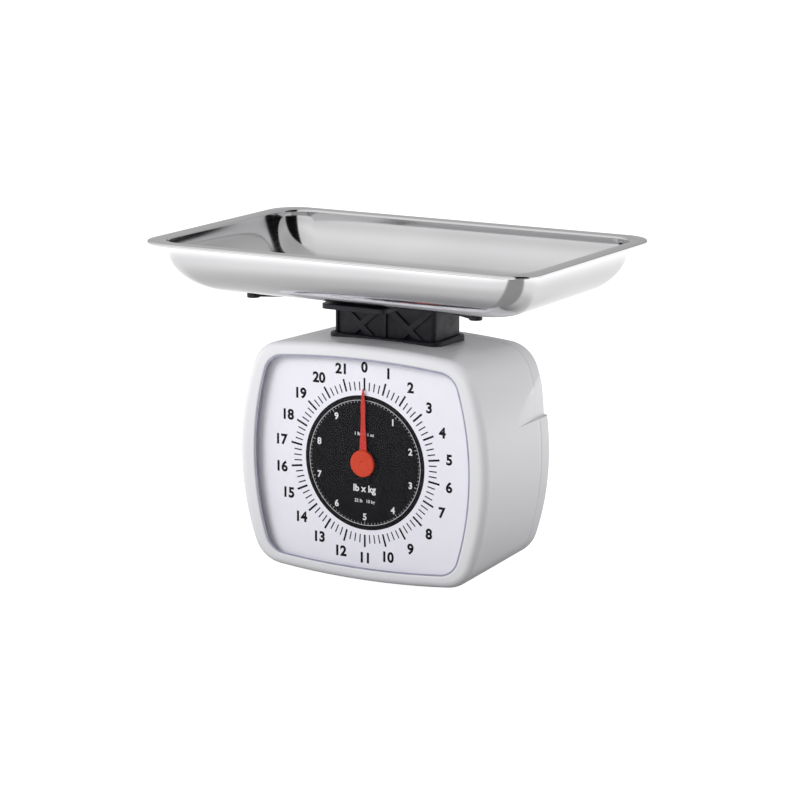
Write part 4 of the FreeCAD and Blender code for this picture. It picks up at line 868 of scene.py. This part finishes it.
def build_thumbwheel():
    low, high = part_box("zero_thumbwheel")
    middle = Vector(((low.x + high.x) / 2, (low.y + high.y) / 2, 0))
    radius, count = (high.x - low.x) / 2 - WHEEL_CLEAR, WHEEL_FLUTES * FLUTE_STEPS

    def ring(base, z, depth):
        """One loop of the wheel, with its flutes cut to a depth."""
        points = []
        for step in range(count):
            turn = 2 * math.pi * step / count
            flute = 0.5 - 0.5 * math.cos(turn * WHEEL_FLUTES)
            reach = base - depth * flute ** 2
            points.append(Vector((middle.x + reach * math.cos(turn),
                                  middle.y + reach * math.sin(turn), z)))
        return points

    rings = [ring(WHEEL_BORE, low.z, 0), ring(radius - WHEEL_EASE, low.z, FLUTE_FOOT)]
    rings += [ring(radius - WHEEL_EASE * (1 - math.sin(turn)),
                   low.z + WHEEL_EASE * (1 - math.cos(turn)), FLUTE_DEPTH)
              for turn in quarter_steps(3)]
    rings += [ring(radius - WHEEL_EASE * (1 - math.cos(turn)),
                   high.z - WHEEL_EASE * (1 - math.sin(turn)), FLUTE_DEPTH)
              for turn in quarter_steps(3)]
    rings += [ring(reach, high.z - sunk, 0) for reach, sunk in WHEEL_DISH]
    rings.append(ring(WHEEL_BORE, high.z, 0))
    mesh = ring_mesh("fluted_wheel", rings, True)
    new_piece("fluted_wheel", mesh, "zero_wheel", "black_plastic", ["zero_thumbwheel"])


build_collar()
build_thumbwheel()
for piece_name, cad_name, body_name, slot_name, soft_width, soft_steps in (
        ("platform_casting", "platform_support", "platform", "black_plastic", 0.0005, 2),
        ("platform_buttons", "platform_pads", "platform", "rubber", 0.0004, 3),
        ("platform_bolts", "support_screws", "platform", "zinc_steel", 0.0002, 2),
        ("foot_blocks", "rubber_feet", "housing", "rubber", 0.0005, 3),
        ("foot_bolts", "foot_screws", "housing", "zinc_steel", 0.0002, 2),
        ("cover_bolts", "cover_screws", "housing", "zinc_steel", 0.0002, 2)):
    bevelled_copy(piece_name, cad_name, body_name, slot_name, soft_width, soft_steps)


# ---------------------------------------------------------------- tray

SHEET, WALL_ROUND, FLANGE, HEM = 0.0008, 0.036, 0.0096, 0.0024
TRAY_CORNER, FLOOR_CORNER, RIM_CORNER = 0.024, 0.018, 0.024
WALL_STEPS, RIM_STEPS = 24, 6
RIM_ROUND, RIM_BEND, UNDER_BEND, HEM_TURN, HEM_EDGE = 0.0016, 0.0020, 0.0008, 0.0009, 0.0002


def tray_loop(half_x, half_y, corner, z):
    return rounded_rectangle(half_x, half_y, corner, z, edge_n=30, corner_n=20)


def tray_wall(wall_x, wall_y, bottom, inset):
    """From the floor's edge up to the flange, on one face of the sheet."""
    radius = WALL_ROUND - inset
    loops = []
    for step in range(WALL_STEPS + 1):
        turn = math.pi / 2 * step / WALL_STEPS
        drawn = radius * (1 - math.sin(turn)) + inset
        opened = (TRAY_CORNER - FLOOR_CORNER) * math.sin(turn)
        corner = FLOOR_CORNER + opened - inset
        loops.append(tray_loop(wall_x - drawn, wall_y - drawn, corner,
                               bottom + WALL_ROUND - radius * math.cos(turn)))
    return loops


def build_tray():
    """One closed skin: up the outside, round the hem and flange, and down the inside."""
    length, width = tray_high.x, tray_high.y
    bottom, rim = tray_low.z, tray_high.z
    wall_x, wall_y = length - FLANGE, width - FLANGE
    under, low = rim - SHEET, rim - HEM
    rings = tray_wall(wall_x, wall_y, bottom, 0)
    rings.append(tray_loop(wall_x, wall_y, TRAY_CORNER, under - UNDER_BEND))
    rings.append(tray_loop(wall_x + UNDER_BEND, wall_y + UNDER_BEND, TRAY_CORNER + UNDER_BEND,
                           under))
    rings.append(tray_loop(length - SHEET - HEM_TURN, width - SHEET - HEM_TURN,
                           RIM_CORNER - SHEET - HEM_TURN, under))
    for z in (under - HEM_TURN, low + HEM_EDGE):
        rings.append(tray_loop(length - SHEET, width - SHEET, RIM_CORNER - SHEET, z))
    rings.append(tray_loop(length - SHEET + HEM_EDGE, width - SHEET + HEM_EDGE,
                           RIM_CORNER - SHEET, low))
    rings.append(tray_loop(length - HEM_EDGE, width - HEM_EDGE, RIM_CORNER, low))
    rings.append(tray_loop(length, width, RIM_CORNER, low + HEM_EDGE))
    for turn in quarter_steps(RIM_STEPS):
        inset = RIM_ROUND * (1 - math.cos(turn))
        rings.append(tray_loop(length - inset, width - inset, RIM_CORNER - inset,
                               rim - RIM_ROUND * (1 - math.sin(turn))))
    for turn in quarter_steps(RIM_STEPS):
        inset = RIM_BEND * (1 - math.sin(turn))
        rings.append(tray_loop(wall_x - SHEET + inset, wall_y - SHEET + inset,
                               TRAY_CORNER - SHEET + inset,
                               rim - RIM_BEND * (1 - math.cos(turn))))
    rings += reversed(tray_wall(wall_x, wall_y, bottom, SHEET))
    mesh = ring_mesh("tray_shell", rings, False)
    new_piece("tray_shell", mesh, "tray", "polished_stainless", ["tray"], sharp=50)


build_tray()


# ---------------------------------------------------------------- studio

def area_light(name, place, width, height, power):
    """A soft rectangular lamp aimed at the dial's middle, unseen in reflections."""
    data = bpy.data.lights.new(name, "AREA")
    data.shape = "RECTANGLE"
    data.size, data.size_y = width, height
    data.energy = power
    lamp = bpy.data.objects.new(name, data)
    bpy.context.scene.collection.objects.link(lamp)
    lamp.location = place
    aim = Vector((0, 0, DIAL_Z)) - Vector(place)
    lamp.rotation_euler = aim.to_track_quat("-Z", "Y").to_euler()
    lamp.visible_glossy = False


FLOOR_WHITE, FLOOR_HALF, FLOOR_SPREAD = 1.0, 9.0, 2.0
DARK_TURN, LIT_TURN = math.radians(62), math.radians(-30)


def graded(tree, source, stops):
    """A colour ramp of grey steps over a value, smooth between them."""
    ramp_node = tree.nodes.new("ShaderNodeValToRGB")
    ramp_node.color_ramp.interpolation = "EASE"
    steps = ramp_node.color_ramp.elements
    while len(steps) < len(stops):
        steps.new(0.5)
    for step, (position, grey) in zip(steps, stops):
        step.position = position
        step.color = (grey, grey, grey, 1)
    tree.links.new(source, ramp_node.inputs["Fac"])
    return ramp_node.outputs["Color"]


def multiplied(tree, first, second):
    """The product of two colours."""
    product = tree.nodes.new("ShaderNodeMix")
    product.data_type = "RGBA"
    product.blend_type = "MULTIPLY"
    product.inputs[0].default_value = 1.0
    tree.links.new(first, product.inputs[6])
    tree.links.new(second, product.inputs[7])
    return product.outputs[2]


def turn_share(tree, place, turn):
    """How far a direction faces a bearing in plan: 0 straight away from it, 1 straight at it."""
    flat = tree.nodes.new("ShaderNodeVectorMath")
    flat.operation = "MULTIPLY"
    flat.inputs[1].default_value = (1, 1, 0)
    tree.links.new(place, flat.inputs[0])
    unit = tree.nodes.new("ShaderNodeVectorMath")
    unit.operation = "NORMALIZE"
    tree.links.new(flat.outputs[0], unit.inputs[0])
    facing = tree.nodes.new("ShaderNodeVectorMath")
    facing.operation = "DOT_PRODUCT"
    facing.inputs[1].default_value = (math.sin(turn) / 2, -math.cos(turn) / 2, 0)
    tree.links.new(unit.outputs[0], facing.inputs[0])
    raised = tree.nodes.new("ShaderNodeMath")
    raised.inputs[1].default_value = 0.5
    tree.links.new(facing.outputs["Value"], raised.inputs[0])
    return raised.outputs[0]


def dark_gap(tree, place):
    """The studio's unlit gap: 1 everywhere but towards one side, where it falls to dark."""
    return graded(tree, turn_share(tree, place, DARK_TURN),
                  ((0.0, 1.0), (0.945, 1.0), (0.972, 0.01), (1.0, 0.01)))


def floor_material():
    """White paper to the eye; to reflections and bounced light it glows, with painted shadow
    darkening it towards the object and a painted dark strip to one side.
    """
    made, shader = material("paper", (0.32, 0.32, 0.32), 0.85)
    tint(made, shader, grain(made, 3, 3), (0.31, 0.31, 0.31), (0.33, 0.33, 0.33))
    tree = made.node_tree
    place = node(made, "ShaderNodeTexCoord").outputs["Object"]
    reach = node(made, "ShaderNodeVectorMath", operation="LENGTH")
    link(made, place, reach.inputs[0])
    share = node(made, "ShaderNodeMath", operation="DIVIDE")
    share.inputs[1].default_value = FLOOR_SPREAD
    link(made, reach.outputs["Value"], share.inputs[0])
    # painted shadow: the glow falls away towards the object, as if the floor were shaded there
    painted_shadow_falloff = graded(tree, share.outputs[0],
                    ((0.05, 0.06), (0.11, 0.30), (0.22, 0.62), (0.50, 1.05), (1.0, 1.0)))
    # painted dark strip: the glow also falls to dark towards one side, giving dark reflections in
    # the tray
    painted_floor_glow = multiplied(tree, painted_shadow_falloff, dark_gap(tree, place))
    rays = node(made, "ShaderNodeLightPath")
    pick = node(made, "ShaderNodeMix", data_type="RGBA")
    link(made, rays.outputs["Is Camera Ray"], pick.inputs[0])
    link(made, painted_floor_glow, pick.inputs[6])
    pick.inputs[7].default_value = (FLOOR_WHITE, FLOOR_WHITE, FLOOR_WHITE, 1)
    link(made, pick.outputs[2], shader.inputs["Emission Color"])
    shader.inputs["Emission Strength"].default_value = 1.0
    return made


def build_studio():
    half = FLOOR_HALF
    floor_mesh = bpy.data.meshes.new("floor")
    floor_mesh.from_pydata([(-half, -half, 0), (half, -half, 0), (half, half, 0),
                            (-half, half, 0)], [], [(0, 1, 2, 3)])
    floor = bpy.data.objects.new("floor", floor_mesh)
    floor_mesh.materials.append(floor_material())
    bpy.context.scene.collection.objects.link(floor)
    area_light("key", (-1.2, -2.1, 1.3), 1.5, 1.1, 38)
    area_light("top", (0.0, 0.5, 1.9), 1.8, 0.7, 4)
    area_light("right", (1.9, 0.9, 0.9), 1.0, 1.2, 20)


def build_world():
    """A bright plain surround to look at, and a graded one for light and reflections."""
    world = bpy.data.worlds.new("studio")
    bpy.context.scene.world = world
    world.use_nodes = True
    tree = world.node_tree
    tree.nodes.clear()
    place = tree.nodes.new("ShaderNodeTexCoord").outputs["Generated"]
    split = tree.nodes.new("ShaderNodeSeparateXYZ")
    tree.links.new(place, split.inputs[0])
    height = tree.nodes.new("ShaderNodeMapRange")
    height.inputs["From Min"].default_value = -1.0
    height.inputs["From Max"].default_value = 1.0
    tree.links.new(split.outputs["Z"], height.inputs["Value"])
    rising = graded(tree, height.outputs["Result"],
                    ((0.0, 0.5), (0.48, 1.0), (0.60, 0.85), (0.80, 1.0), (1.0, 0.85)))
    round_about = graded(tree, turn_share(tree, place, LIT_TURN),
                         ((0.0, 0.52), (0.4, 0.55), (0.75, 0.85), (1.0, 0.92)))
    lit = tree.nodes.new("ShaderNodeBackground")
    sides = multiplied(tree, rising, round_about)
    tree.links.new(multiplied(tree, sides, dark_gap(tree, place)), lit.inputs["Color"])
    seen = tree.nodes.new("ShaderNodeBackground")
    seen.inputs["Color"].default_value = (1, 1, 1, 1)
    rays = tree.nodes.new("ShaderNodeLightPath")
    pick = tree.nodes.new("ShaderNodeMixShader")
    tree.links.new(rays.outputs["Is Camera Ray"], pick.inputs["Fac"])
    tree.links.new(lit.outputs[0], pick.inputs[1])
    tree.links.new(seen.outputs[0], pick.inputs[2])
    out = tree.nodes.new("ShaderNodeOutputWorld")
    tree.links.new(pick.outputs[0], out.inputs["Surface"])


CAMERA_AZIMUTH, CAMERA_ELEVATION = math.radians(29.925), math.radians(11.828)
CAMERA_DISTANCE, CAMERA_LENS = 2.4414, 148.37
CAMERA_TARGET = Vector((0.0022, 0.0, 0.1288))


def build_camera():
    data = bpy.data.cameras.new("camera")
    data.lens = CAMERA_LENS
    data.sensor_width = 36.0
    camera = bpy.data.objects.new("camera", data)
    bpy.context.scene.collection.objects.link(camera)
    back = Vector((math.sin(CAMERA_AZIMUTH) * math.cos(CAMERA_ELEVATION),
                   -math.cos(CAMERA_AZIMUTH) * math.cos(CAMERA_ELEVATION),
                   math.sin(CAMERA_ELEVATION)))
    camera.location = CAMERA_TARGET + back * CAMERA_DISTANCE
    camera.rotation_euler = (-back).to_track_quat("-Z", "Y").to_euler()
    bpy.context.scene.camera = camera


build_studio()
build_world()
build_camera()
bpy.context.scene.view_settings.view_transform = "Standard"
